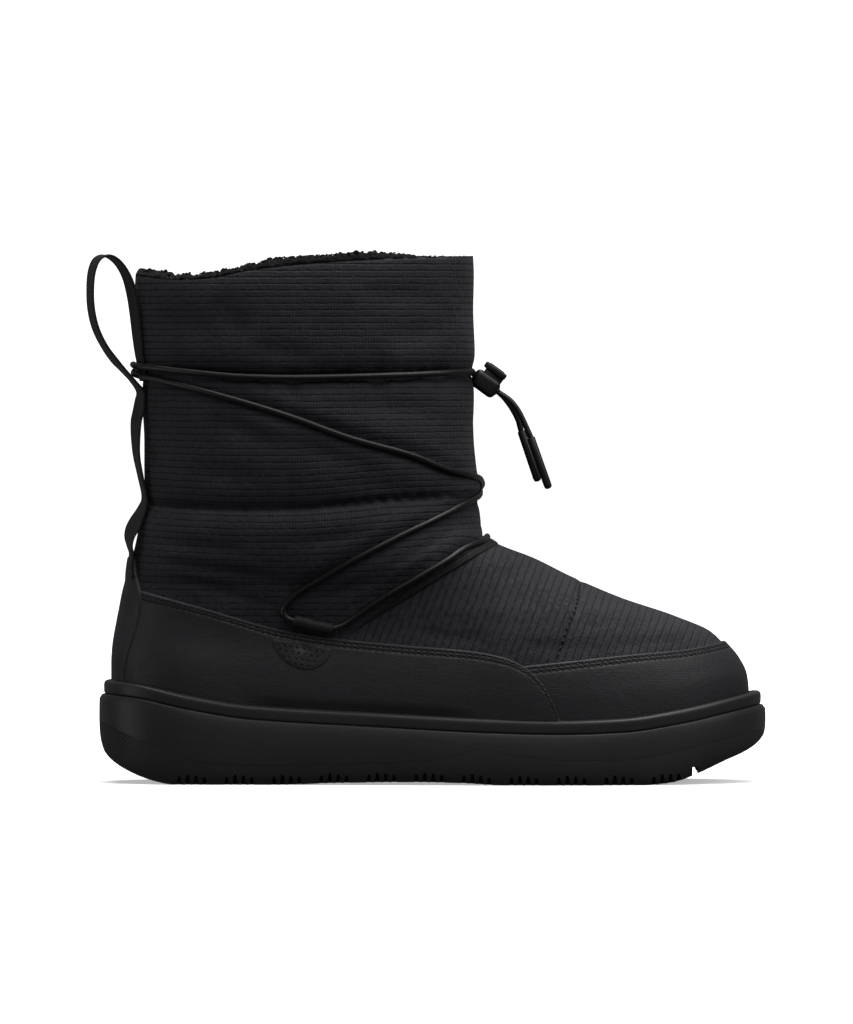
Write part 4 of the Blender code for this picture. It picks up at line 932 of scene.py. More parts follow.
def ribbed_cloth(name, colour, valley, rib, thread, depth):
    """Woven polyester ripstop, padded behind: raised ribs with thin dark valleys, and fine upright threads.

    It gives the eye a soft dark cloth with lines at an even pitch, a little brighter where the ribs face
    the light. Its colour follows the bump's height, darker in the hollows between ribs and threads:
    painted shade.
    """
    made, tree, shader = new_material(
        name, 0.62, Specular_IOR_Level=0.16, Sheen_Weight=0.03, Sheen_Roughness=0.45)
    weave = add_node(tree, "Attribute", attribute_name="cloth").outputs["Vector"]
    parts = add_node(tree, "SeparateXYZ", {0: weave}).outputs
    place = add_node(tree, "TexCoord").outputs["Object"]
    wander = add_node(
        tree, "TexNoise", {"Vector": place, "Scale": 1 / (6.25 * MM), "Detail": 2.0}).outputs["Fac"]
    drift = add_node(tree, "Math", {0: wander, 1: 0.0007, 2: parts["Y"]}, operation="MULTIPLY_ADD")
    count = add_node(tree, "Math", {0: drift.outputs[0], 1: 1 / rib}, operation="MULTIPLY").outputs[0]
    ridge = add_node(tree, "Math", {0: count, 1: 0.5}, operation="PINGPONG").outputs[0]
    shift = add_node(tree, "Math", {0: count}, operation="FLOOR").outputs[0]
    along = add_node(tree, "Math", {0: parts["X"], 1: 1 / thread, 2: shift}, operation="MULTIPLY_ADD")
    tick = add_node(tree, "Math", {0: along.outputs[0], 1: 0.5}, operation="PINGPONG").outputs[0]
    uneven = add_node(
        tree, "TexNoise", {"Vector": place, "Scale": 1 / (2.38 * MM), "Detail": 2.0}).outputs["Fac"]
    broken = add_node(tree, "Math", {0: uneven, 1: 0.2, 2: ridge}, operation="MULTIPLY_ADD").outputs[0]
    raised = add_node(
        tree, "MapRange", {0: broken, 1: 0.1, 2: 0.3}, interpolation_type="SMOOTHSTEP")
    kept = add_node(tree, "MapRange", {0: uneven, 1: 0.4, 2: 0.62, 3: 0.2, 4: 1.3}).outputs[0]
    ticks = add_node(tree, "Math", {0: tick, 1: kept}, operation="MULTIPLY").outputs[0]
    fibre = add_node(
        tree, "TexNoise", {"Vector": place, "Scale": 1 / (1.11 * MM), "Detail": 3.0}).outputs["Fac"]
    threads = add_node(tree, "Math", {0: ticks, 1: 1.3, 2: raised.outputs[0]}, operation="MULTIPLY_ADD")
    height = add_node(tree, "Math", {0: fibre, 1: 0.5, 2: threads.outputs[0]}, operation="MULTIPLY_ADD")
    bump = add_node(tree, "Bump", {"Height": height.outputs[0], "Distance": depth, "Strength": 0.8})
    # Painted shade: the darker colour is mixed in where the bump is low, between the ribs and threads.
    light = add_node(tree, "MapRange", {0: height.outputs[0], 1: 0.15, 2: 1.75})
    painted_light = add_node(
        tree, "Mix", {0: light.outputs[0], 6: (*valley, 1), 7: (*colour, 1)}, data_type="RGBA")
    patchy = add_node(
        tree, "TexNoise", {"Vector": place, "Scale": 1 / (16.7 * MM), "Detail": 6.0}).outputs["Fac"]
    dim = add_node(tree, "MapRange", {0: patchy, 1: 0.3, 2: 0.7, 3: 0.84, 4: 1.16})
    shade = add_node(tree, "HueSaturation", {"Color": painted_light.outputs[2], "Value": dim.outputs[0]})
    rough = add_node(tree, "MapRange", {0: fibre, 3: 0.56, 4: 0.7})
    tree.links.new(shade.outputs[0], shader.inputs["Base Color"])
    tree.links.new(rough.outputs[0], shader.inputs["Roughness"])
    tree.links.new(bump.outputs[0], shader.inputs["Normal"])
    return made


def coated_leather(name, colour, edge):
    """Polyurethane-coated leather, embossed: small even pebbles that break the shine of a matt black film.

    At a cut edge, which the mesh marks, a thin paler line is painted in: a painted highlight where the edge
    catches the light.
    """
    made, tree, shader = new_material(name, 0.5, Specular_IOR_Level=0.2)
    place = add_node(tree, "TexCoord").outputs["Object"]
    pebble = add_node(
        tree, "TexVoronoi", {"Vector": place, "Scale": 1 / 0.00105, "Randomness": 0.4},
        feature="SMOOTH_F1")
    soft = add_node(
        tree, "TexNoise", {"Vector": place, "Scale": 1 / (3.33 * MM), "Detail": 2.0}).outputs["Fac"]
    height = add_node(
        tree, "Math", {0: pebble.outputs["Distance"], 1: -1.5, 2: soft}, operation="MULTIPLY_ADD")
    bump = add_node(tree, "Bump", {"Height": height.outputs[0], "Distance": 0.0002, "Strength": 0.6})
    broad = add_node(
        tree, "TexNoise", {"Vector": place, "Scale": 1 / (28.6 * MM), "Detail": 3.0}).outputs["Fac"]
    dim = add_node(tree, "MapRange", {0: broad, 1: 0.3, 2: 0.7, 3: 0.9, 4: 1.08})
    shade = add_node(tree, "HueSaturation", {"Color": (*colour, 1), "Value": dim.outputs[0]})
    # Painted highlight: the paler edge colour is mixed in along the cut edge.
    marks = add_node(tree, "Attribute", attribute_name="cloth").outputs["Vector"]
    near = add_node(tree, "SeparateXYZ", {0: marks}).outputs["Y"]
    cut = add_node(tree, "MapRange", {0: near, 1: 0.0, 2: MM}).outputs[0]
    painted_light = add_node(tree, "Mix", {0: cut, 6: shade.outputs[0], 7: (*edge, 1)}, data_type="RGBA")
    rough = add_node(tree, "MapRange", {0: soft, 1: 0.3, 2: 0.7, 3: 0.44, 4: 0.56})
    tree.links.new(painted_light.outputs[2], shader.inputs["Base Color"])
    tree.links.new(rough.outputs[0], shader.inputs["Roughness"])
    tree.links.new(bump.outputs[0], shader.inputs["Normal"])
    return made


def moulded_rubber(name, colour, roughness, knurl=False):
    """Rubber or foam with a moulded skin: satin black, with a faint orange-peel from the steel mould.

    The outsole's heel corner has a fine knurl in the mould, drawn at 1.3 mm, a little coarser than the
    real one,
    so that it shows.
    """
    made, tree, shader = new_material(name, roughness, Specular_IOR_Level=0.2)
    place = add_node(tree, "TexCoord").outputs["Object"]
    peel = add_node(
        tree, "TexNoise", {"Vector": place, "Scale": 1 / (2.38 * MM), "Detail": 3.0}).outputs["Fac"]
    height = peel
    if knurl:
        turned = add_node(tree, "Mapping", {"Vector": place, "Rotation": (0, math.radians(45), 0)})
        parts = add_node(tree, "SeparateXYZ", {0: turned.outputs[0]}).outputs
        rows = []
        for axis in ("X", "Z"):
            lines = add_node(tree, "Math", {0: parts[axis], 1: 1 / 0.0013}, operation="MULTIPLY")
            rows.append(add_node(
                tree, "Math", {0: lines.outputs[0], 1: 0.5}, operation="PINGPONG").outputs[0])
        points = add_node(tree, "Math", {0: rows[0], 1: rows[1]}, operation="MINIMUM").outputs[0]
        plain = add_node(tree, "SeparateXYZ", {0: place}).outputs
        corner = add_node(
            tree, "MapRange", {0: plain["X"], 1: -0.122, 2: -0.130}, interpolation_type="SMOOTHSTEP")
        only = add_node(tree, "Math", {0: points, 1: corner.outputs[0]}, operation="MULTIPLY").outputs[0]
        height = add_node(tree, "Math", {0: only, 1: 14.0, 2: peel}, operation="MULTIPLY_ADD").outputs[0]
    bump = add_node(tree, "Bump", {"Height": height, "Distance": 0.00016, "Strength": 0.5})
    broad = add_node(
        tree, "TexNoise", {"Vector": place, "Scale": 1 / (38.5 * MM), "Detail": 4.0}).outputs["Fac"]
    dim = add_node(tree, "MapRange", {0: broad, 1: 0.3, 2: 0.7, 3: 0.9, 4: 1.1})
    shade = add_node(tree, "HueSaturation", {"Color": (*colour, 1), "Value": dim.outputs[0]})
    rough = add_node(tree, "MapRange", {0: broad, 1: 0.3, 2: 0.7, 3: roughness - 0.05, 4: roughness + 0.05})
    tree.links.new(shade.outputs[0], shader.inputs["Base Color"])
    tree.links.new(rough.outputs[0], shader.inputs["Roughness"])
    tree.links.new(bump.outputs[0], shader.inputs["Normal"])
    return made


def curly_fleece(name, colour):
    """Polyester fleece, knitted and tumbled into curls: no shine; its colour is painted lighter on the tips
    of the curls and darker between them, painted highlight and shade.
    """
    made, tree, shader = new_material(
        name, 0.95, Specular_IOR_Level=0.05, Sheen_Weight=0.04, Sheen_Roughness=0.6)
    place = add_node(tree, "TexCoord").outputs["Object"]
    curls = add_node(tree, "TexVoronoi", {"Vector": place, "Scale": 1 / 0.0016}, feature="SMOOTH_F1")
    hair = add_node(
        tree, "TexNoise", {"Vector": place, "Scale": 1 / (0.667 * MM), "Detail": 3.0}).outputs["Fac"]
    height = add_node(
        tree, "Math", {0: curls.outputs["Distance"], 1: -1.2, 2: hair}, operation="MULTIPLY_ADD")
    bump = add_node(tree, "Bump", {"Height": height.outputs[0], "Distance": 0.0006, "Strength": 0.9})
    # Painted highlight and shade: the colour follows the curls' height.
    tip = add_node(tree, "MapRange", {0: height.outputs[0], 1: -0.6, 2: 0.6, 3: 0.5, 4: 1.5})
    shade = add_node(tree, "HueSaturation", {"Color": (*colour, 1), "Value": tip.outputs[0]})
    tree.links.new(shade.outputs[0], shader.inputs["Base Color"])
    tree.links.new(bump.outputs[0], shader.inputs["Normal"])
    return made


def braided_cord(name, colour, pitch):
    """Polyester cord, braided over an elastic core: two sets of strands that cross aslant, slightly shiny."""
    made, tree, shader = new_material(name, 0.33, Specular_IOR_Level=0.36)
    parts = add_node(tree, "SeparateXYZ", {
        0: add_node(tree, "Attribute", attribute_name="cloth").outputs["Vector"],
    }).outputs
    sets = []
    for turn in (1.0, -1.0):
        aslant = add_node(
            tree, "Math", {0: parts["Y"], 1: turn * 1.1, 2: parts["X"]}, operation="MULTIPLY_ADD")
        lines = add_node(tree, "Math", {0: aslant.outputs[0], 1: 1 / pitch}, operation="MULTIPLY")
        sets.append(add_node(tree, "Math", {0: lines.outputs[0], 1: 0.5}, operation="PINGPONG").outputs[0])
    strands = add_node(tree, "Math", {0: sets[0], 1: sets[1]}, operation="MAXIMUM").outputs[0]
    bump = add_node(tree, "Bump", {"Height": strands, "Distance": 0.00022, "Strength": 0.6})
    # Painted shade: the colour is darker between the strands, by their height.
    painted_light = add_node(tree, "MapRange", {0: strands, 1: 0.1, 2: 0.5, 3: 0.6, 4: 1.15})
    shade = add_node(tree, "HueSaturation", {"Color": (*colour, 1), "Value": painted_light.outputs[0]})
    tree.links.new(shade.outputs[0], shader.inputs["Base Color"])
    tree.links.new(bump.outputs[0], shader.inputs["Normal"])
    return made


def woven_tape(name, colour, pitch):
    """Polyester webbing, woven flat: fine ribs across the tape and a smooth selvedge along both edges."""
    made, tree, shader = new_material(name, 0.55, Specular_IOR_Level=0.22)
    parts = add_node(tree, "SeparateXYZ", {
        0: add_node(tree, "Attribute", attribute_name="cloth").outputs["Vector"],
    }).outputs
    rows = add_node(tree, "Math", {0: parts["X"], 1: 1 / pitch}, operation="MULTIPLY").outputs[0]
    row = add_node(tree, "Math", {0: rows}, operation="FLOOR").outputs[0]
    rib = add_node(tree, "Math", {0: rows, 1: 0.5}, operation="PINGPONG").outputs[0]
    cross = add_node(tree, "Math", {0: parts["Y"], 1: 1 / pitch, 2: row}, operation="MULTIPLY_ADD").outputs[0]
    pick = add_node(tree, "Math", {0: cross, 1: 1.0}, operation="PINGPONG").outputs[0]
    height = add_node(tree, "Math", {0: pick, 1: 0.5, 2: rib}, operation="MULTIPLY_ADD").outputs[0]
    bump = add_node(tree, "Bump", {"Height": height, "Distance": 0.0003, "Strength": 0.7})
    # Painted shade: the colour is darker in the weave's hollows, by their height.
    painted_light = add_node(tree, "MapRange", {0: height, 1: 0.0, 2: 0.9, 3: 0.7, 4: 1.2})
    shade = add_node(tree, "HueSaturation", {"Color": (*colour, 1), "Value": painted_light.outputs[0]})
    tree.links.new(shade.outputs[0], shader.inputs["Base Color"])
    tree.links.new(bump.outputs[0], shader.inputs["Normal"])
    return made


def moulded_plastic(name, colour, roughness):
    """Acetal, injection moulded: hard black plastic with a fine spark-eroded texture."""
    made, tree, shader = new_material(name, roughness, Specular_IOR_Level=0.34)
    place = add_node(tree, "TexCoord").outputs["Object"]
    grain = add_node(
        tree, "TexNoise", {"Vector": place, "Scale": 1 / (0.556 * MM), "Detail": 2.0}).outputs["Fac"]
    bump = add_node(tree, "Bump", {"Height": grain, "Distance": 0.00006, "Strength": 0.5})
    rough = add_node(tree, "MapRange", {0: grain, 3: roughness - 0.06, 4: roughness + 0.06})
    shader.inputs["Base Color"].default_value = (*colour, 1)
    tree.links.new(rough.outputs[0], shader.inputs["Roughness"])
    tree.links.new(bump.outputs[0], shader.inputs["Normal"])
    return made


def sewing_thread(name, colour):
    """Bonded polyester thread, twisted: a slight shine on each stitch."""
    made, tree, shader = new_material(name, 0.45, Specular_IOR_Level=0.3)
    place = add_node(tree, "TexCoord").outputs["Object"]
    twist = add_node(
        tree, "TexNoise", {"Vector": place, "Scale": 1 / (0.4 * MM), "Detail": 1.0}).outputs["Fac"]
    bump = add_node(tree, "Bump", {"Height": twist, "Distance": 0.0001, "Strength": 0.6})
    shader.inputs["Base Color"].default_value = (*colour, 1)
    tree.links.new(bump.outputs[0], shader.inputs["Normal"])
    return made


def finish(name):
    """The boot's materials by name, each made once from the panel's colours and sizes."""
    made = bpy.data.materials.get(name)
    if made:
        return made
    colours, sizes = bpy.context.scene.boot_colours, bpy.context.scene.boot_sizes
    makers = {
        "shaft_ripstop_woven": lambda: ribbed_cloth(
            name, colours.cloth, colours.cloth_valley_shade, sizes.shaft_rib, sizes.thread_pitch, 0.0003),
        "vamp_ripstop_woven": lambda: ribbed_cloth(
            name, colours.cloth, colours.cloth_valley_shade, sizes.vamp_rib, sizes.thread_pitch, 0.0004),
        # Painted shade: the hem takes one dark colour for ribs and hollows, for the shadow under the lowest
        # lace.
        "hem_ripstop_painted_shade": lambda: ribbed_cloth(
            name, colours.hem, colours.hem, sizes.shaft_rib, sizes.thread_pitch, 0.0002),
        "guard_leather_coated": lambda: coated_leather(name, colours.leather, colours.leather_edge_highlight),
        "midsole_foam_moulded": lambda: moulded_rubber(name, colours.midsole, 0.42),
        "outsole_rubber_moulded": lambda: moulded_rubber(name, colours.outsole, 0.55, knurl=True),
        "lining_fleece_curled": lambda: curly_fleece(name, colours.fleece),
        "lace_cord_braided": lambda: braided_cord(name, colours.cord, sizes.braid),
        "tape_webbing_woven": lambda: woven_tape(name, colours.tape, sizes.tape_rib),
        "lock_acetal_moulded": lambda: moulded_plastic(name, colours.plastic, 0.36),
        "seam_thread_twisted": lambda: sewing_thread(name, colours.thread),
        "vamp_thread_twisted": lambda: sewing_thread(name, colours.dark_thread),
    }
    return makers[name]()


class BootSizes(bpy.types.PropertyGroup):
    """Sizes of the boot's cloth, seams, fleece and stitches."""

    shaft_rib: bpy.props.FloatProperty(
        name="Shaft rib", description="Pitch of the ribs of the shaft's cloth",
        default=0.00272, unit="LENGTH")
    vamp_rib: bpy.props.FloatProperty(
        name="Vamp rib", description="Pitch of the ribs of the vamp's cloth", default=0.00311, unit="LENGTH")
    thread_pitch: bpy.props.FloatProperty(
        name="Thread pitch", description="Pitch of the threads across the ribs",
        default=0.0012, unit="LENGTH")
    seam_depth: bpy.props.FloatProperty(
        name="Seam depth", description="Depth of the quilting seams", default=0.0027, unit="LENGTH")
    seam_width: bpy.props.FloatProperty(
        name="Seam width", description="Half width of the quilting seams", default=0.0010, unit="LENGTH")
    lace_bulge: bpy.props.FloatProperty(
        name="Lace bulge", description="How far the padding stands out beside the lace",
        default=0.0013, unit="LENGTH")
    guard: bpy.props.FloatProperty(
        name="Guard thickness", description="Thickness of the leather guards", default=0.0013, unit="LENGTH")
    fleece: bpy.props.FloatProperty(
        name="Fleece height", description="How far the fleece stands over the collar",
        default=0.0030, unit="LENGTH")
    stitch_length: bpy.props.FloatProperty(
        name="Stitch length", description="Length of a stitch", default=0.0018, unit="LENGTH")
    stitch_gap: bpy.props.FloatProperty(
        name="Stitch gap", description="Distance between two stitches", default=0.0009, unit="LENGTH")
    thread: bpy.props.FloatProperty(
        name="Thread", description="Thickness of the sewing thread", default=0.0008, unit="LENGTH")
    cord: bpy.props.FloatProperty(
        name="Cord", description="Diameter of the lace", default=0.0026, unit="LENGTH")
    braid: bpy.props.FloatProperty(
        name="Braid", description="Pitch of the cord's strands", default=0.0011, unit="LENGTH")
    tape_rib: bpy.props.FloatProperty(
        name="Tape rib", description="Pitch of the tape's weave", default=0.0009, unit="LENGTH")


class BootColours(bpy.types.PropertyGroup):
    """Colours of the boot's materials."""

    cloth: bpy.props.FloatVectorProperty(
        name="Cloth", description="Ribs of the cloth", default=linear("#27272c"), subtype="COLOR")
    # Painted shade: the darker colour in the hollows between the cloth's ribs.
    cloth_valley_shade: bpy.props.FloatVectorProperty(
        name="Cloth valley", description="Between the ribs", default=linear("#151517"), subtype="COLOR")
    # Painted shade: the hem is darker than the shaft's cloth, for the shadow under the lowest lace.
    hem: bpy.props.FloatVectorProperty(
        name="Hem", description="Folded edge over the instep", default=linear("#0c0c0d"), subtype="COLOR")
    leather: bpy.props.FloatVectorProperty(
        name="Leather", description="Guards and heel stay", default=linear("#232325"), subtype="COLOR")
    # Painted highlight: the paler colour painted on the guards' cut edges.
    leather_edge_highlight: bpy.props.FloatVectorProperty(
        name="Leather edge", description="Core of the leather at its cut edges", default=linear("#46464a"),
        subtype="COLOR")
    midsole: bpy.props.FloatVectorProperty(
        name="Midsole", description="Moulded cup", default=linear("#232324"), subtype="COLOR")
    outsole: bpy.props.FloatVectorProperty(
        name="Outsole", description="Tread", default=linear("#232324"), subtype="COLOR")
    fleece: bpy.props.FloatVectorProperty(
        name="Fleece", description="Lining", default=linear("#0d0d0e"), subtype="COLOR")
    cord: bpy.props.FloatVectorProperty(
        name="Cord", description="Lace", default=linear("#070708"), subtype="COLOR")
    tape: bpy.props.FloatVectorProperty(
        name="Tape", description="Pull tape and keepers", default=linear("#151516"), subtype="COLOR")
    plastic: bpy.props.FloatVectorProperty(
        name="Plastic", description="Cord lock and tips", default=linear("#101011"), subtype="COLOR")
    thread: bpy.props.FloatVectorProperty(
        name="Thread", description="Stitches of the guards", default=linear("#0f0f10"), subtype="COLOR")
    dark_thread: bpy.props.FloatVectorProperty(
        name="Dark thread", description="Stitches of the vamp's seam",
        default=linear("#0a0a0b"), subtype="COLOR")


class StudioSettings(bpy.types.PropertyGroup):
    """Camera and light."""

    distance: bpy.props.FloatProperty(
        name="Distance", description="Camera to boot", default=6.0, unit="LENGTH")
    elevation: bpy.props.FloatProperty(
        name="Elevation", description="Camera above the level", default=math.radians(0.7), subtype="ANGLE")
    view_width: bpy.props.FloatProperty(
        name="View width", description="What the image's width takes in", default=0.35826, unit="LENGTH")
    aim: bpy.props.FloatVectorProperty(
        name="Aim", description="Middle of the image", default=(0.0002, 0.0, 0.1134), subtype="TRANSLATION")
    key: bpy.props.FloatProperty(
        name="Key", description="Power of the softbox above the toe", default=8.6, unit="POWER")
    top: bpy.props.FloatProperty(
        name="Top", description="Power of the softbox overhead", default=26.0, unit="POWER")
    heel: bpy.props.FloatProperty(
        name="Heel", description="Power of the low panel behind the heel", default=1.4, unit="POWER")
    front: bpy.props.FloatProperty(
        name="Front", description="Power of the panel over the floor in front", default=20.0, unit="POWER")
    back: bpy.props.FloatProperty(
        name="Back", description="Power of the softbox above and behind", default=75.0, unit="POWER")


class BOOT_OT_stage(bpy.types.Operator):
    """White lit floor under a white sky, soft lights, and the camera at the photograph's angle"""

    bl_idname = "boot.stage"
    bl_label = "Studio"

    def execute(self, context):
        studio = context.scene.boot_studio
        camera = bpy.data.objects.new("camera", bpy.data.cameras.new("camera"))
        context.scene.collection.objects.link(camera)
        camera.data.sensor_fit = "HORIZONTAL"
        camera.data.lens = camera.data.sensor_width * studio.distance / studio.view_width
        camera.data.clip_end = 50
        back = Vector((0, -math.cos(studio.elevation), math.sin(studio.elevation)))
        camera.location = Vector(studio.aim) + back * studio.distance
        camera.rotation_euler = (math.pi / 2 - studio.elevation, 0, 0)
        context.scene.camera = camera
        context.scene.view_settings.view_transform = "Standard"

        bm = bmesh.new()
        bmesh.ops.create_grid(bm, x_segments=8, y_segments=8, size=40)
        mesh = bpy.data.meshes.new("floor")
        bm.to_mesh(mesh)
        bm.free()
        mesh.shade_smooth()
        floor = bpy.data.objects.new("floor", mesh)
        context.scene.collection.objects.link(floor)
        # Painted glow: the floor's white emission makes it glow with no lamp under it, less so in its middle:
        # white, with a pale shadow.
        glowing_floor, tree, shader = new_material(
            "floor_painted_glow", 0.9, Specular_IOR_Level=0.1, Base_Color=(*linear("#f4f4f4"), 1),
            Emission_Color=(1, 1, 1, 1))
        place = add_node(tree, "TexCoord").outputs["Object"]
        reach = add_node(tree, "VectorMath", {0: place}, operation="LENGTH").outputs["Value"]
        glow = add_node(tree, "MapRange", {0: reach, 1: 0.25, 2: 1.6, 3: 0.42, 4: 1.0})
        tree.links.new(glow.outputs[0], shader.inputs["Emission Strength"])
        mesh.materials.append(glowing_floor)
        floor.visible_diffuse = False  # the white floor throws no light back on the black boot
        floor.visible_glossy = False

        lights = [
            ("key", studio.key, 0.8, (1.35, -0.6, 1.1), (0.03, 0, 0.1)),
            ("top", studio.top, 1.6, (0.25, -0.35, 1.75), (0.0, -0.1, 0.0)),
            ("heel", studio.heel, 0.5, (-1.1, -0.14, 0.07), (-0.13, 0, 0.03)),
            ("front", studio.front, 1.5, (0.0, -2.2, 1.6), (0.0, -2.0, 0.0)),
            ("back", studio.back, 2.0, (0.0, 0.6, 2.6), (0.0, 2.2, 0.6)),
        ]
        for name, power, size, place, aim in lights:
            lamp = bpy.data.lights.new(name, "AREA")
            lamp.energy = power
            lamp.size = size
            made = bpy.data.objects.new(name, lamp)
            context.scene.collection.objects.link(made)
            made.location = place
            made.rotation_euler = (Vector(aim) - Vector(place)).to_track_quat("-Z", "Y").to_euler()
        world = bpy.data.worlds.new("studio")
        context.scene.world = world
        world.use_nodes = True
        sky = world.node_tree.nodes["Background"]
        sky.inputs["Color"].default_value = (*linear("#d8dade"), 1)
        seen = add_node(world.node_tree, "LightPath").outputs["Is Camera Ray"]
        level_of = add_node(world.node_tree, "Math", {0: seen, 1: 1.6, 2: 0.2}, operation="MULTIPLY_ADD")
        world.node_tree.links.new(level_of.outputs[0], sky.inputs["Strength"])
        return {"FINISHED"}


class BOOT_OT_free_ends(bpy.types.Operator):
    """The two hanging ends of the lace with their moulded tips"""

    bl_idname = "boot.free_ends"
    bl_label = "Lace ends"

    def execute(self, context):
        sizes = context.scene.boot_sizes
        diameter = sizes.cord * END_THINNER
        radius = diameter / MM / 2
        ends = [("outer", -1, FREE_END_OUTER, TIP_END_OUTER), ("inner", 1, FREE_END_INNER, TIP_END_INNER)]
        for name, side, stops, tip_end in ends:
            y = side * HOLE_SPACING
            face = TOGGLE_SIZE[0] / 2 + GAP
            start = toggle_point(face, y, 0)
            points = [toggle_point(face + radius, y, 0)] + [Vector((x, y, z)) for x, z in stops]
            finish_point = Vector((tip_end[0], y, tip_end[1]))
            ahead = (finish_point - points[-1]).normalized()
            begin = points[-1] + GAP * ahead
            reach = (finish_point - begin).length
            inside = finish_point - TIP_INSIDE * ahead
            bend = [points[-1] + ahead * share * reach for share in TIP_GUIDES]
            path = spline([start] + points + bend + [inside], END_STEP)
            bm = bmesh.new()
            tube(bm, path, radius, CORD_SIDES)
            close_ends(bm)
            cord = add_piece(
                f"lace_end_{name}_braid", bm, [finish("lace_cord_braided")], replaces=[f"lace_end_{name}"])

            profile = [*TIP_ROOT, *((reach - back, r) for back, r in TIP_NOSE)]
            across = ahead.cross(Vector((0, 1, 0))).normalized()
            up = ahead.cross(across)
            turns = equal_turns(TIP_SIDES)
            rings = [
                [begin + ahead * at + r * (math.cos(t) * across + math.sin(t) * up) for t in turns]
                for at, r in profile
            ]
            bm = bmesh.new()
            grid(bm, np.array(rings), around=True)
            close_ends(bm)
            tip = add_piece(
                f"lace_tip_{name}_moulded", bm, [finish("lock_acetal_moulded")],
                replaces=[f"lace_tip_{name}"],
                sharp=TIP_SHARP)
        return {"FINISHED"}


class BOOT_OT_upper(bpy.types.Operator):
    """The padded shell of ribbed cloth: shaft and vamp, with seams, gathers and creases"""

    bl_idname = "boot.upper"
    bl_label = "Quilted upper"

    def execute(self, context):
        sizes = context.scene.boot_sizes
        fine = np.linspace(UPPER_LEVELS[0].height, COLLAR, 6 * FINE)
        run = np.concatenate([[0], np.cumsum(np.hypot(np.diff(level["front"](fine)), np.diff(fine)))])
        heights = np.interp(np.linspace(0, run[-1], int(run[-1] / RING_STEP)), run, fine)
        rings, outward = upper_form(heights, AROUND)
        outer = rings + outward * cloth_relief(heights, rings, sizes)[:, :, None]

        step = np.linalg.norm(np.diff(rings, axis=1, append=rings[:, :1]), axis=2)
        around = np.concatenate([np.zeros((len(rings), 1)), np.cumsum(step, axis=1)[:, :-1]], axis=1)
        around = np.minimum(around, step.sum(axis=1, keepdims=True) - around)
        x, z = rings[:, :, 0], rings[:, :, 2]
        on_shaft = z > hem_line(x)
        warp = (low_seam(x) - LOW_SEAM_MEAN) * np.exp(-((z - LOW_SEAM_MEAN) / RIB_FOLLOWS) ** 2)
        lean = math.radians(VAMP_RIB_LEAN)
        across = np.where(on_shaft, z - warp, x * math.cos(lean) - z * math.sin(lean))
        cloth = np.stack([around, across], axis=2)

        rim_in = rings[-1] - outward[-1] * WALL
        roll = [rings[-1] + outward[-1] * cut + np.array([0, 0, rise]) for cut, rise in COLLAR_ROLL]
        inner_heights = np.linspace(COLLAR, UPPER_LEVELS[0].height, INNER_RINGS)
        inner, inward = upper_form(inner_heights[::-1], AROUND)
        inner = (inner - inward * WALL)[::-1]
        inner[0] = rim_in
        inner[:, :, 2] = np.maximum(inner[:, :, 2], rings[0][:, 2])
        points = np.concatenate([outer, roll, inner])
        extra = np.repeat(cloth[-1:], len(points) - len(cloth), axis=0)
        bm = bmesh.new()
        grid(bm, points, np.concatenate([cloth, extra]), around=True, ends_meet=True)
        for face in bm.faces:
            place = face.calc_center_median() / MM
            face.material_index = 0 if place.z > hem_line(place.x) else 1
        upper = add_piece(
            "quilted_upper", bm, [finish("shaft_ripstop_woven"), finish("vamp_ripstop_woven")],
            replaces=["upper"])
        return {"FINISHED"}


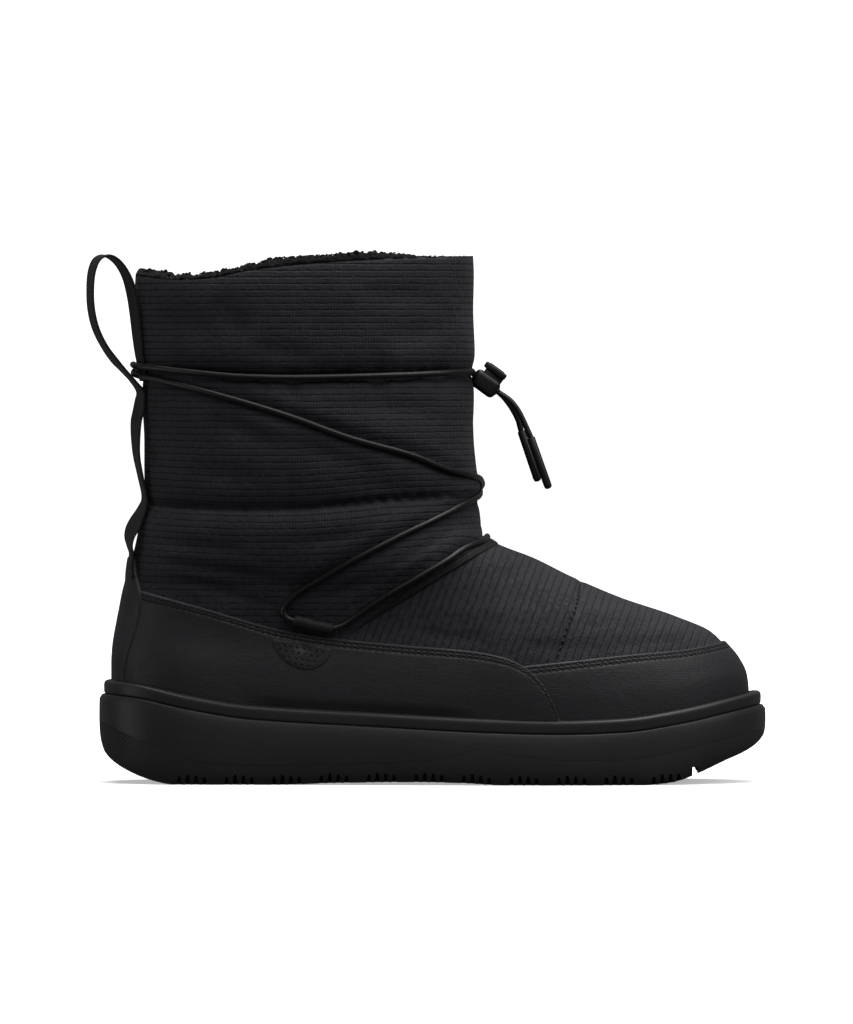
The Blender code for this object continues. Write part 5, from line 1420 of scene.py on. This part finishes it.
class BOOT_OT_lining(bpy.types.Operator):
    """Curly fleece that lines the shaft and stands over the collar, and covers the footbed"""

    bl_idname = "boot.lining"
    bl_label = "Fleece lining"

    def execute(self, context):
        sizes = context.scene.boot_sizes
        stand = sizes.fleece / MM
        rings, outward = upper_form(np.linspace(COLLAR - 2, COLLAR, 3), LINING_AROUND)
        rim, out = rings[-1], outward[-1] * np.array([1, 1, 0])
        out /= np.linalg.norm(out, axis=1, keepdims=True)
        clumps = np.array([noise.noise(Vector(place) / CLUMP) for place in rim])
        fade = (fleece_share(rim[:, 0]) * (1 + CLUMP_SHARE * clumps))[:, None]
        up = np.array([0, 0, 1.0])
        rows = []
        for turn in np.linspace(FLEECE_ARC_START, math.pi, FLEECE_ARC_ROWS):
            lift = stand * fade * math.sin(turn) - FLEECE_SINK
            rows.append(rim - out * FLEECE_ARC + out * FLEECE_ARC * math.cos(turn) + up * lift)
        inner_heights = np.concatenate([np.linspace(*span) for span in LINING_HEIGHTS])
        inner, inward = upper_form(inner_heights[::-1], LINING_AROUND)
        behind = inner - inward * (WALL + FLEECE_BACK)
        inner = (inner - inward * (WALL + FLEECE_FACE))[::-1]
        for side in (inner, behind):
            side[:, :, 2] = np.maximum(side[:, :, 2], feather(side[:, :, 0]) - LINING_BELOW)
        rows = np.concatenate([np.array(rows), inner])
        middle = np.array([SHAFT_AXIS, 0, 0])
        for row in rows:
            for i, place in enumerate(row):
                lump = 1 - abs(noise.noise(Vector(place) / LUMP)) * LUMP_CUT
                curl = noise.noise(Vector(place) / CURL + Vector(CURL_SHIFT))
                way = place - middle
                away = np.array([-way[0], -way[1], 0]) / max(1, math.hypot(way[0], way[1]))
                above = 1.0 if place[2] > collar(place[0]) - COLLAR_BAND else UPRIGHT_BELOW
                row[i] = place + (LUMP_HEIGHT * lump + CURL_HEIGHT * curl) * (above * up + (1 - above) * away)
        bm = bmesh.new()
        grid(bm, np.concatenate([rows, behind[::BACK_ROWS]]), around=True, ends_meet=True)
        add_piece("fleece_lining", bm, [finish("lining_fleece_curled")])

        random = np.random.RandomState(CURL_SEED)
        bm = bmesh.new()
        rise = Vector((0, 0, 1))
        for _ in range(CURLS):
            i = random.randint(LINING_AROUND)
            inset = random.uniform(*CURL_INSET)
            sink = random.uniform(*CURL_SINK)
            base = rim[i] - out[i] * inset + up * (stand * fade[i, 0] - sink)
            side = Vector((random.normal(), random.normal(), random.normal() * CURL_FLATTER)).normalized()
            size = random.uniform(*CURL_SIZE)
            bend = np.linspace(0, random.uniform(*CURL_BEND), CURL_STEPS)
            lead = rise.cross(side).normalized()
            path = [Vector(base) + size * (math.sin(t) * lead + (1 - math.cos(t)) * rise) for t in bend]
            tube(bm, path, random.uniform(*CURL_THICK), CURL_SIDES)
        close_ends(bm)
        add_piece("fleece_curls", bm, [finish("lining_fleece_curled")])

        wall = upper_ring(FEATHER_MEAN, FOOTBED_AROUND)[:, :2]
        along = np.roll(wall, -1, axis=0) - np.roll(wall, 1, axis=0)
        side = np.column_stack([-along[:, 1], along[:, 0]])
        side /= np.linalg.norm(side, axis=1, keepdims=True)
        plan = wall - side * (WALL + INSOLE_CLEARANCE)
        low = feather(plan[:, 0]) - CUP_DEPTH + GAP
        spine = np.column_stack([plan[:, 0], sole_centre(plan[:, 0])])
        rows = [np.column_stack([plan, low]), np.column_stack([plan, low + INSOLE_THICKNESS - FOOTBED_EDGE])]
        for share in np.linspace(*FOOTBED_SHARES):
            flat = plan * (1 - share) + spine * share
            lumps = [FOOTBED_LUMP * noise.noise(Vector((px, py, 0)) / FOOTBED_LUMP_SIZE) for px, py in flat]
            rows.append(np.column_stack([flat, low + INSOLE_THICKNESS + np.array(lumps)]))
        bm = bmesh.new()
        grid(bm, np.array(rows), around=True)
        close_ends(bm)
        add_piece("fleece_footbed", bm, [finish("lining_fleece_curled")], replaces=["insole"])
        return {"FINISHED"}


def round_off(inside, radius):
    """The share of the full thickness that a rounded edge has this far inside it."""
    return np.sqrt(np.clip(1 - (1 - np.clip(inside / radius, 0, 1)) ** 2, 0, 1))


def curled(x, z):
    """The share of a guard's thickness left above the bead: along the waist its lower edge curls in."""
    waist = np.clip((x - WAIST[0]) / WAIST_FADE, 0, 1) * np.clip((WAIST[1] - x) / WAIST_FADE, 0, 1)
    rise = np.clip((z - feather(x) - GAP) / WAIST_CURL, 0, 1)
    return 1 - waist * (1 - rise * rise * (3 - 2 * rise))


def overlay(form, columns, tops, bottoms, thickness, lift):
    """A guard's closed skin over these columns, its top edge rounded and its stitch lines pressed in.

    With it come the marks of its cut edge for the painted highlight: how near the edge is, one at the edge
    itself.
    """
    outer, inner, marks = [], [], []
    for c in columns:
        deep = tops[c] - bottoms[c]
        last = EDGE_ROWS[-1]
        below = np.array(EDGE_ROWS + list(last + (max(deep, EDGE_DEEP) - last) * np.linspace(*LOWER_ROWS)))
        below = below if deep > EDGE_DEEP else below * deep / EDGE_DEEP
        places, normals = form.at(c, tops[c] - below)
        pressed = sum(GROOVE_DEPTH * np.exp(-((below - at) / GROOVE_WIDTH) ** 2) for at in GROOVES)
        full = (thickness + lift(places[:, 0])) * (EDGE_THIN + (1 - EDGE_THIN) * round_off(below, EDGE_ROUND))
        off = GUARD_OFF + full * curled(places[:, 0], places[:, 2]) - pressed
        outer.append(places + normals * off[:, None])
        inner.append(places[::-1] + normals[::-1] * GUARD_INSIDE)
        # Painted highlight: this mark paints the cut edge paler.
        near = np.clip(1 - below / EDGE_HIGHLIGHT_WIDTH, 0, 1)
        marks.append(np.column_stack([0 * near, near]))
    marks = np.array(marks)
    points = np.concatenate([np.array(outer), np.array(inner)], axis=1)
    return points.transpose(1, 0, 2), np.concatenate([marks, marks[:, ::-1]], axis=1).transpose(1, 0, 2)


def edge_path(form, columns, tops, below, off):
    """A line on a guard at a distance below its top edge, with its outward directions."""
    found = [form.at(c, np.array([tops[c] - below])) for c in columns]
    normals = np.array([normal[0] for _, normal in found])
    return np.array([place[0] for place, _ in found]) + normals * off, normals


class BOOT_OT_guards(bpy.types.Operator):
    """Leather guards round heel, sides and toe, heel stay, their stitches and the half-round patches"""

    bl_idname = "boot.guards"
    bl_label = "Leather guards"

    def execute(self, context):
        sizes = context.scene.boot_sizes
        leather, thread = finish("guard_leather_coated"), finish("seam_thread_twisted")
        thick = sizes.guard / MM
        form = FootForm()
        x_of = form.points[0, :, 0]
        side_tops = form.crossing(guard_edge)
        toe_tops = form.crossing(toe_edge)
        base = np.zeros(COLUMNS)
        stitches = bmesh.new()

        def side_lift(x):
            return SIDE_LIFT * np.clip((x - SIDE_LIFT_START) / SIDE_LIFT_LENGTH, 0, 1) ** 2

        half = COLUMNS // 2
        for name, span in (("inner", range(half)), ("outer", range(COLUMNS - 1, half, -1))):
            columns = [c for c in span if side_tops[c] > GUARD_LEAST]
            bm = bmesh.new()
            grid(bm, *overlay(form, columns, side_tops, base, thick, side_lift), ends_meet=True)
            close_ends(bm)
            add_piece(
                f"side_guard_{name}_sewn", bm, [leather], replaces=[f"side_guard_{name}"])
            rows = [c for c in columns if side_tops[c] > GUARD_SEWN]
            for below in GROOVES:
                path, normals = edge_path(form, rows, side_tops, below, thick)
                path = path + normals * side_lift(path[:, 0])[:, None]
                sew(stitches, path, normals, sizes)

        under = form.crossing(lambda x: guard_edge(x) - TOE_UNDER)
        low = np.where(np.isnan(under), 0, under)
        columns = [c for c in range(COLUMNS) if toe_tops[c] > low[c] + TOE_LEAST and x_of[c] > TOE_BACK]
        bm = bmesh.new()
        grid(bm, *overlay(form, columns, toe_tops, low, thick, lambda x: 0 * x), ends_meet=True)
        close_ends(bm)
        add_piece("toe_guard_sewn", bm, [leather], replaces=["toe_guard"])
        least = np.where(np.isnan(under), TOE_SEWN, TOE_SEWN_UNDER)
        rows = [c for c in columns if toe_tops[c] > low[c] + least[c]]
        for below in GROOVES:
            path, normals = edge_path(form, rows, toe_tops, below, thick)
            sew(stitches, path, normals, sizes)

        self.heel_stay(form, leather)
        self.patch(form, leather, stitches, sizes)
        add_piece("guard_stitches", stitches, [thread])
        return {"FINISHED"}

    def heel_stay(self, form, leather):
        """The back strip: a band across the heel's middle that narrows to a tab."""
        rows = []
        top = STAY_WIDTHS[-1].z
        edge = np.array([-share for share in STAY_HALF[::-1]] + [0] + STAY_HALF)
        for i in np.nonzero(form.heights > STAY_BASE)[0]:
            ring, normal = form.points[i], form.normals[i]
            back = np.nonzero(ring[:, 0] < STAY_BEHIND)[0]
            back = back[np.argsort(ring[back, 1])]
            tail = ring[back[len(back) // 2], 2]
            if tail > top:
                break
            half = float(stay_half(tail))
            y = edge * half
            place = np.column_stack([np.interp(y, ring[back, 1], ring[back, k]) for k in range(3)])
            out = np.column_stack([np.interp(y, ring[back, 1], normal[back, k]) for k in range(3)])
            inset = (1 - abs(edge)) * half
            rounded = round_off(inset, STAY_ROUND) * round_off(top - tail, STAY_CROWN)
            pressed = STAY_GROOVE * np.exp(-((inset - STAY_GROOVE_AT) / GROOVE_WIDTH) ** 2)
            off = STAY_OFF + STAY_THICKNESS * (STAY_THIN + (1 - STAY_THIN) * rounded) - pressed
            rows.append(np.vstack([place + out * off[:, None], (place + out * GUARD_INSIDE)[::-1]]))
        bm = bmesh.new()
        grid(bm, np.array(rows), around=True)
        close_ends(bm)
        add_piece("heel_stay_sewn", bm, [leather], replaces=["heel_stay"])

    def patch(self, form, leather, stitches, sizes):
        """A half-round patch that holds the keeper, sewn to and fro under the guard's edge, on both sides."""
        bm = bmesh.new()
        for side in (-1, 1):
            def at(x, below, off):
                place, normal = form.on_side(x, guard_edge(x) - below, side)
                return place + normal * off, normal

            rows = []
            for share, off in PATCH_EDGE:
                turns = np.linspace(0, math.pi, PATCH_STEPS)
                ahead, down = PATCH_HALF * share * np.cos(turns), PATCH_DEPTH * share * np.sin(turns)
                rows.append([at(PATCH_X + a, PATCH_TOP + d, off)[0] for a, d in zip(ahead, down)])
            grid(bm, np.array(rows), ends_meet=True)
            last = PATCH_TOP + PATCH_DEPTH - PATCH_SEAM_BOTTOM
            for k, below in enumerate(np.linspace(PATCH_TOP + PATCH_SEAM_TOP, last, PATCH_SEAMS)):
                half = PATCH_HALF * math.sqrt(1 - ((below - PATCH_TOP) / PATCH_DEPTH) ** 2) - PATCH_SEAM_TOP
                along = np.linspace(PATCH_X - half, PATCH_X + half, PATCH_SEAM_STEPS)
                line = [at(x, below, PATCH_OFF) for x in along]
                lean = PATCH_LEAN if k % 2 else -PATCH_LEAN
                sew(stitches, [p for p, _ in line], [n for _, n in line], sizes, lean=lean)
        close_ends(bm)
        add_piece("keeper_patches", bm, [leather])


class BOOT_OT_hem(bpy.types.Operator):
    """The shaft's folded edge over the instep, and the vamp's stitched seam"""

    bl_idname = "boot.hem"
    bl_label = "Instep hem"

    def execute(self, context):
        sizes = context.scene.boot_sizes
        form = FootForm()
        middle = form.crossing(hem_line)
        rows = []
        measures = []
        reach, rise = np.array(HEM_SECTION).T
        for c in range(COLUMNS):
            if np.isnan(middle[c]):
                continue
            place, _ = form.at(c, np.array([middle[c]]))
            if place[0, 0] < HEM_LINE[0].x + HEM_START:
                continue
            end = np.clip((place[0, 0] - HEM_LINE[0].x) / HEM_TAPER, HEM_THIN, 1)
            places, normals = form.at(c, middle[c] + end * reach)
            flat = end - HEM_FLATTER * np.clip((place[0, 0] - HEM_FRONT) / HEM_FADE, 0, 1)
            outer = places + normals * (flat * rise)[:, None]
            rows.append(np.vstack([outer, places[::-1] - normals[::-1] * HEM_INSIDE]))
            measures.append(c * HEM_RIB_ALONG)
        points = np.array(rows).transpose(1, 0, 2)
        across = np.tile(np.arange(len(points))[:, None] * HEM_RIB_ACROSS, (1, len(measures)))
        cloth = np.stack([np.tile(np.array(measures)[None], (len(points), 1)), across], axis=2)
        bm = bmesh.new()
        grid(bm, points, cloth, ends_meet=True)
        close_ends(bm)
        add_piece(
            "instep_hem_folded", bm, [finish("hem_ripstop_painted_shade")], replaces=["instep_hem"])

        stitches = bmesh.new()
        for side in (-1, 1):
            line = [form.on_side(x, z, side) for x, z in spline(VAMP_SEAM, VAMP_STITCH_STEP)]
            path = np.array([place + normal * VAMP_STITCH_OFF for place, normal in line])
            sew(stitches, path, [normal for _, normal in line], sizes, scale=VAMP_STITCH_LARGER)
        add_piece("vamp_stitches", stitches, [finish("vamp_thread_twisted")])
        return {"FINISHED"}


def sole_loop():
    """The sole's outline from above with the directions that point inwards."""
    plan = plan_loop(SOLE_BACK, SOLE_FRONT, HEEL_ROUND, TOE_ROUND, sole_centre, sole_half, SOLE_AROUND)
    along = np.roll(plan, -1, axis=0) - np.roll(plan, 1, axis=0)
    inward = np.column_stack([along[:, 1], -along[:, 0]])
    return plan, inward / np.linalg.norm(inward, axis=1, keepdims=True)


def sole_ring(inset, height):
    """A ring of the sole, moved in from the outline by inset and raised to height, both functions of x."""
    plan, inward = sole_loop()
    moved = plan + inward * np.broadcast_to(inset(plan[:, 0]), len(plan))[:, None]
    return np.column_stack([moved, height(moved[:, 0])])


def groove(x):
    """Height of the groove under the bead."""
    return feather(x) - BEAD_HEIGHT


def side_share(x):
    """Where the parting line lies on the sole's side, from its underside (0) to the groove (1)."""
    return (parting(x) - ground(x)) / (groove(x) - ground(x))


def end_keep(x):
    """The share of the wall's insets left towards the sole's ends, which are steeper than its sides."""
    toe = np.clip(1 - (SOLE_FRONT - x) / END_LENGTH, 0, 1)
    heel = np.clip(1 - (x - SOLE_BACK) / END_LENGTH, 0, 1)
    return 1 - END_STEEPER * np.maximum(toe, heel) ** 2


def end_reach(x):
    """How far the sole's rounded ends bring its sides in at x."""
    toe = np.clip(1 - (SOLE_FRONT - x) / TOE_ROUND, 0, 1)
    heel = np.clip(1 - (x - SOLE_BACK) / HEEL_ROUND, 0, 1)
    return (1 - toe ** TOE_SQUARE) ** (1 / TOE_SQUARE) * (1 - heel ** HEEL_SQUARE) ** (1 / HEEL_SQUARE)


def fill_across(bm, ring):
    """Closes a level ring of the sole by strips from side to side, from the front tip to the back."""
    half = len(ring) // 2
    left, right = ring[:half + 1], np.vstack([ring[:1], ring[:half - 1:-1]])
    grid(bm, np.stack([left, left * 0.67 + right * 0.33, left * 0.33 + right * 0.67, right]))


def sole_skin(rings):
    """A closed skin over these rings of the sole, from the first to the last."""
    bm = bmesh.new()
    grid(bm, np.array(rings), around=True)
    for ring in (rings[0], rings[-1]):
        fill_across(bm, ring)
    bmesh.ops.remove_doubles(bm, verts=bm.verts, dist=WELD)
    return bm


class BOOT_OT_sole(bpy.types.Operator):
    """The moulded cup with its bead and groove, and the tread with its comb-like lugs"""

    bl_idname = "boot.sole"
    bl_label = "Sole"

    def execute(self, context):
        rings = []
        for share in np.linspace(0, 1, SIDE_RINGS)[:-1]:
            def height(x, share=share):
                low = parting(x) + PARTING_GAP
                return low + share * (groove(x) + GROOVE_EDGE - low)

            def inset(x, share=share):
                return end_keep(x) * side_inset(side_share(x) + share * (1 - side_share(x)))

            rings.append(sole_ring(inset, height))
        for above in np.concatenate([np.linspace(*span) for span in BEAD_RINGS]):
            rings.append(sole_ring(lambda x, a=above: bead_inset(a), lambda x, a=above: groove(x) + a))
        wall = upper_ring(FEATHER_MEAN, SOLE_AROUND)
        side = np.roll(wall, -1, axis=0) - np.roll(wall, 1, axis=0)
        side = np.column_stack([-side[:, 1], side[:, 0]])
        rim = wall[:, :2] + side / np.linalg.norm(side, axis=1, keepdims=True) * GAP
        for drop in (GAP, CUP_DEPTH):
            rings.append(np.column_stack([rim, feather(rim[:, 0]) - drop]))
        add_piece(
            "midsole_cup", sole_skin(rings), [finish("midsole_foam_moulded")], replaces=["midsole"],
            sharp=SOLE_SHARP)

        rings = [sole_ring(lambda x: BOTTOM_INSET * end_keep(x), ground)]
        for share in TREAD_SHARES:
            def height(x, share=share):
                return ground(x) + share * (parting(x) - PARTING_GAP - ground(x))

            def inset(x, share=share):
                return end_keep(x) * side_inset(share * side_share(x))

            rings.append(sole_ring(inset, height))
        tread = add_piece(
            "outsole_tread", sole_skin(rings), [finish("outsole_rubber_moulded")], replaces=["outsole"])
        self.cut_lugs(context, tread)
        return {"FINISHED"}

    def cut_lugs(self, context, tread):
        """Cuts the notches along both edges, the toe's step and the channels out of the tread."""
        bm = bmesh.new()

        def block(low, high, narrows=1.0):
            size = Vector(high) - Vector(low)
            place = Matrix.Translation((Vector(low) + size / 2) * MM) @ Matrix.Diagonal((*(size * MM), 1))
            made = bmesh.ops.create_cube(bm, size=1, matrix=place)["verts"]
            top = [vert for vert in made if vert.co.z > place.translation.z]
            bmesh.ops.scale(bm, vec=(narrows, 1, 1), space=Matrix.Translation(-place.translation), verts=top)

        for group in range(LUG_GROUPS):
            start = LUG_START + LUG_PITCH * group
            for notch, deep in enumerate(NOTCH_HEIGHTS):
                x = start + NOTCH_PITCH * notch
                for sign in (-1, 1):
                    edge = sole_centre(x) + sign * sole_half(x) * end_reach(x)
                    near, far = sorted((edge - sign * NOTCH_REACH, edge + sign * SPARE))
                    low = (x - NOTCH_WIDTH / 2, near, ground(x) - NOTCH_BELOW)
                    block(low, (x + NOTCH_WIDTH / 2, far, ground(x) + deep), NOTCH_NARROWS)
            if group > 0:
                x = start - (LUG_PITCH - NOTCH_PITCH * (len(NOTCH_HEIGHTS) - 1)) / 2
                reach = sole_half(x) * end_reach(x) - CHANNEL_MARGIN
                low = (x - CHANNEL_WIDTH / 2, sole_centre(x) - reach, ground(x) - SPARE)
                block(low, (x + CHANNEL_WIDTH / 2, sole_centre(x) + reach, ground(x) + CHANNEL_DEPTH))
        floor = ground(TOE_NOTCH)
        low = (TOE_NOTCH - TOE_NOTCH_WIDTH / 2, -BEYOND, floor - SPARE)
        block(low, (TOE_NOTCH + TOE_NOTCH_WIDTH / 2, BEYOND, floor + TOE_NOTCH_HEIGHT))
        mesh = bpy.data.meshes.new("lug_cutter")
        bm.to_mesh(mesh)
        bm.free()
        cutter = bpy.data.objects.new("lug_cutter", mesh)
        context.scene.collection.objects.link(cutter)
        cut = tread.modifiers.new("lugs", "BOOLEAN")
        cut.object = cutter
        cut.solver = "EXACT"
        view = context.evaluated_depsgraph_get()
        done = bpy.data.meshes.new_from_object(tread.evaluated_get(view))
        tread.modifiers.remove(cut)
        tread.data = done
        bpy.data.objects.remove(cutter)
        done.shade_smooth()
        done.set_sharp_from_angle(angle=math.radians(LUG_SHARP))


class BOOT_OT_tape(bpy.types.Operator):
    """The webbing tape at the back: pull loop, crossing and two loose bulges"""

    bl_idname = "boot.tape"
    bl_label = "Pull tape"

    def execute(self, context):
        surface = Surface()
        turn = math.radians(TAPE_TURN)
        stops = []
        for stop in TAPE_ROUTE + TAPE_TAIL:
            x = stop.x
            if x is None:
                x = SHAFT_AXIS - surface.radius(turn - math.pi, stop.z) - GAP - TAPE_THICKNESS / 2 - stop.off
            stops.append((x, stop.z, stop.twist))
        way = spline(stops, TAPE_STEP)
        ahead = np.gradient(way, axis=0)
        run = np.concatenate([[0], np.cumsum(np.hypot(np.diff(way[:, 0]), np.diff(way[:, 1])))])
        half, thick = TAPE_WIDTH / 2, TAPE_THICKNESS / 2
        face = [(-half + a, -b) for a, b in TAPE_SELVEDGE] + [(0, -TAPE_MIDDLE)]
        face += [(half - a, -b) for a, b in TAPE_SELVEDGE[::-1]]
        section = face + [(-a, -b) for a, b in face]
        about_shaft = Matrix.Rotation(turn, 3, "Z")
        axis = Vector((SHAFT_AXIS, 0, 0))
        rows, cloth = [], []
        for (x, z, twist), (dx, dz, _), at in zip(way, ahead, run):
            tangent = Vector((dx, 0, dz)).normalized()
            width = Matrix.Rotation(math.radians(twist), 3, "Z") @ Vector((0, 1, 0))
            depth = width.cross(tangent).normalized()
            centre = Vector((x, 0, z)) - axis
            rows.append([axis + about_shaft @ (centre + width * a + depth * b * thick) for a, b in section])
            cloth.append([(at, a) for a, _ in section])
        bm = bmesh.new()
        grid(bm, np.array(rows), np.array(cloth), around=True)
        close_ends(bm)
        add_piece(
            "pull_tape_webbing", bm, [finish("tape_webbing_woven")], replaces=["pull_tape"])
        return {"FINISHED"}


class BOOT_OT_lace(bpy.types.Operator):
    """The lace round the shaft and over the instep, with the webbing keepers on both sides"""

    bl_idname = "boot.lace"
    bl_label = "Lace and keepers"

    def execute(self, context):
        cord = context.scene.boot_sizes.cord / MM
        route = lace_route(Surface(), LACE_STEP)
        bm = bmesh.new()
        tube(bm, route, cord / 2, CORD_SIDES)
        close_ends(bm)
        add_piece("lace_braid", bm, [finish("lace_cord_braided")], replaces=["lace"])
        for name, side in (("outer", -1), ("inner", 1)):
            near = [p for p in route if p[2] < KEEPER_CEILING and p[1] * side > 0]
            held = spline([p for p in near if KEEPER_START < p[0] < KEEPER_END], KEEPER_STEP)
            ways = np.gradient(held, axis=0)
            outer, inner, measure = [], [], []
            turns = equal_turns(KEEPER_SIDES)
            for k, (place, way) in enumerate(zip(held, ways)):
                way = Vector(way).normalized()
                out = Vector((0, side, 0))
                up = way.cross(out).normalized()
                out = up.cross(way).normalized()
                for rows, (high, deep) in ((outer, KEEPER_OUTSIDE), (inner, KEEPER_INSIDE)):
                    ellipse = [(high * math.cos(t), deep * math.sin(t)) for t in turns]
                    rows.append([Vector(place) + up * a + out * b for a, b in ellipse])
                measure.append([(k * KEEPER_STEP, KEEPER_OUTSIDE[0] * math.cos(t)) for t in turns])
            bm = bmesh.new()
            cloth = np.array(measure + measure[::-1])
            grid(bm, np.array(outer + inner[::-1]), cloth, around=True, ends_meet=True)
            add_piece(
                f"lace_keeper_{name}_webbing", bm, [finish("tape_webbing_woven")],
                replaces=[f"lace_keeper_{name}"])
        return {"FINISHED"}


def lock_block(bm, size, centre, rounding, segments):
    """A rounded block in the lock's directions."""
    along, across, out = toggle_frame()
    turn = Matrix((along, across, out)).transposed().to_4x4()
    place = Matrix.Translation(toggle_point(*centre) * MM) @ turn @ Matrix.Diagonal((*(Vector(size) * MM), 1))
    made = bmesh.ops.create_cube(bm, size=1, matrix=place)["verts"]
    edges = {edge for vert in made for edge in vert.link_edges}
    bmesh.ops.bevel(
        bm, geom=list(edges), offset=rounding * MM, segments=segments, profile=0.5, affect="EDGES",
        material=-1)


def lock_rim(bm, across, facing):
    """A moulded rim round a cord's hole, on the lock's front or back face."""
    _, sideways, out = toggle_frame()
    along = facing * (TOGGLE_SIZE[0] / 2 - RIM_SINK)
    turns = equal_turns(RIM_SIDES)
    rows = []
    for t in equal_turns(RIM_ROWS):
        r = RIM_RADIUS + RIM_WIRE * math.cos(t)
        centre = toggle_point(along + facing * RIM_WIRE * math.sin(t), across, 0)
        rows.append([centre + r * (math.cos(u) * sideways + math.sin(u) * out) for u in turns])
    grid(bm, np.array(rows), around=True, ends_meet=True)


class BOOT_OT_toggle(bpy.types.Operator):
    """The cord lock: rounded body with rimmed holes, and the push button on its stem"""

    bl_idname = "boot.toggle"
    bl_label = "Cord lock"

    def execute(self, context):
        plastic = finish("lock_acetal_moulded")
        top = TOGGLE_SIZE[2] / 2
        bm = bmesh.new()
        lock_block(bm, LOCK_BODY, LOCK_AT, LOCK_ROUNDING, segments=6)
        for facing in (-1, 1):
            for across in (-HOLE_SPACING, HOLE_SPACING):
                lock_rim(bm, across, facing)
        rim = (LOCK_COLLAR_AHEAD, 0, top - LOCK_COLLAR_SINK)
        lock_block(bm, LOCK_COLLAR, rim, LOCK_COLLAR_ROUNDING, segments=2)
        add_piece(
            "toggle_body_moulded", bm, [plastic], replaces=["toggle_body"],
            sharp=LOCK_SHARP)

        bm = bmesh.new()
        cap = top + BUTTON_OUT + BUTTON_CAP[2] / 2
        lock_block(bm, BUTTON_CAP, (0, 0, cap), CAP_ROUNDING, segments=4)
        for across in GRIPS:
            lock_block(bm, GRIP, (0, across, cap + BUTTON_CAP[2] / 2), GRIP_ROUNDING, segments=2)
        stem = (STEM_AHEAD, 0, top + BUTTON_OUT + STEM_INSIDE - BUTTON_STEM[2] / 2)
        lock_block(bm, BUTTON_STEM, stem, STEM_ROUNDING, segments=2)
        add_piece(
            "toggle_button_moulded", bm, [plastic], body="button", replaces=["toggle_button"],
            sharp=LOCK_SHARP)
        return {"FINISHED"}


class BOOT_PT_panel(bpy.types.Panel):
    """Sizes, colours and the pieces of the boot"""

    bl_idname = "BOOT_PT_panel"
    bl_label = "Winter boot"
    bl_space_type = "VIEW_3D"
    bl_region_type = "UI"
    bl_category = "Boot"

    def draw(self, context):
        for group in (context.scene.boot_sizes, context.scene.boot_colours, context.scene.boot_studio):
            for name in group.__annotations__:
                self.layout.prop(group, name)
        for operator in OPERATORS:
            self.layout.operator(operator.bl_idname)


GROUPS = {"boot_sizes": BootSizes, "boot_colours": BootColours, "boot_studio": StudioSettings}
OPERATORS = [
    BOOT_OT_stage, BOOT_OT_free_ends, BOOT_OT_upper, BOOT_OT_lining, BOOT_OT_guards, BOOT_OT_hem,
    BOOT_OT_sole,
    BOOT_OT_tape, BOOT_OT_lace, BOOT_OT_toggle,
]


def register():
    """Registers the settings, the operators and the panel."""
    for name, group in GROUPS.items():
        bpy.utils.register_class(group)
        setattr(bpy.types.Scene, name, bpy.props.PointerProperty(type=group))
    for item in OPERATORS + [BOOT_PT_panel]:
        bpy.utils.register_class(item)


def unregister():
    """Removes what register added."""
    for item in [BOOT_PT_panel] + OPERATORS[::-1]:
        bpy.utils.unregister_class(item)
    for name, group in GROUPS.items():
        delattr(bpy.types.Scene, name)
        bpy.utils.unregister_class(group)


def main():
    """Builds the stage and every piece."""
    register()
    for operator in OPERATORS:
        group, name = operator.bl_idname.split(".")
        getattr(getattr(bpy.ops, group), name)()


if __name__ == "__main__":
    main()
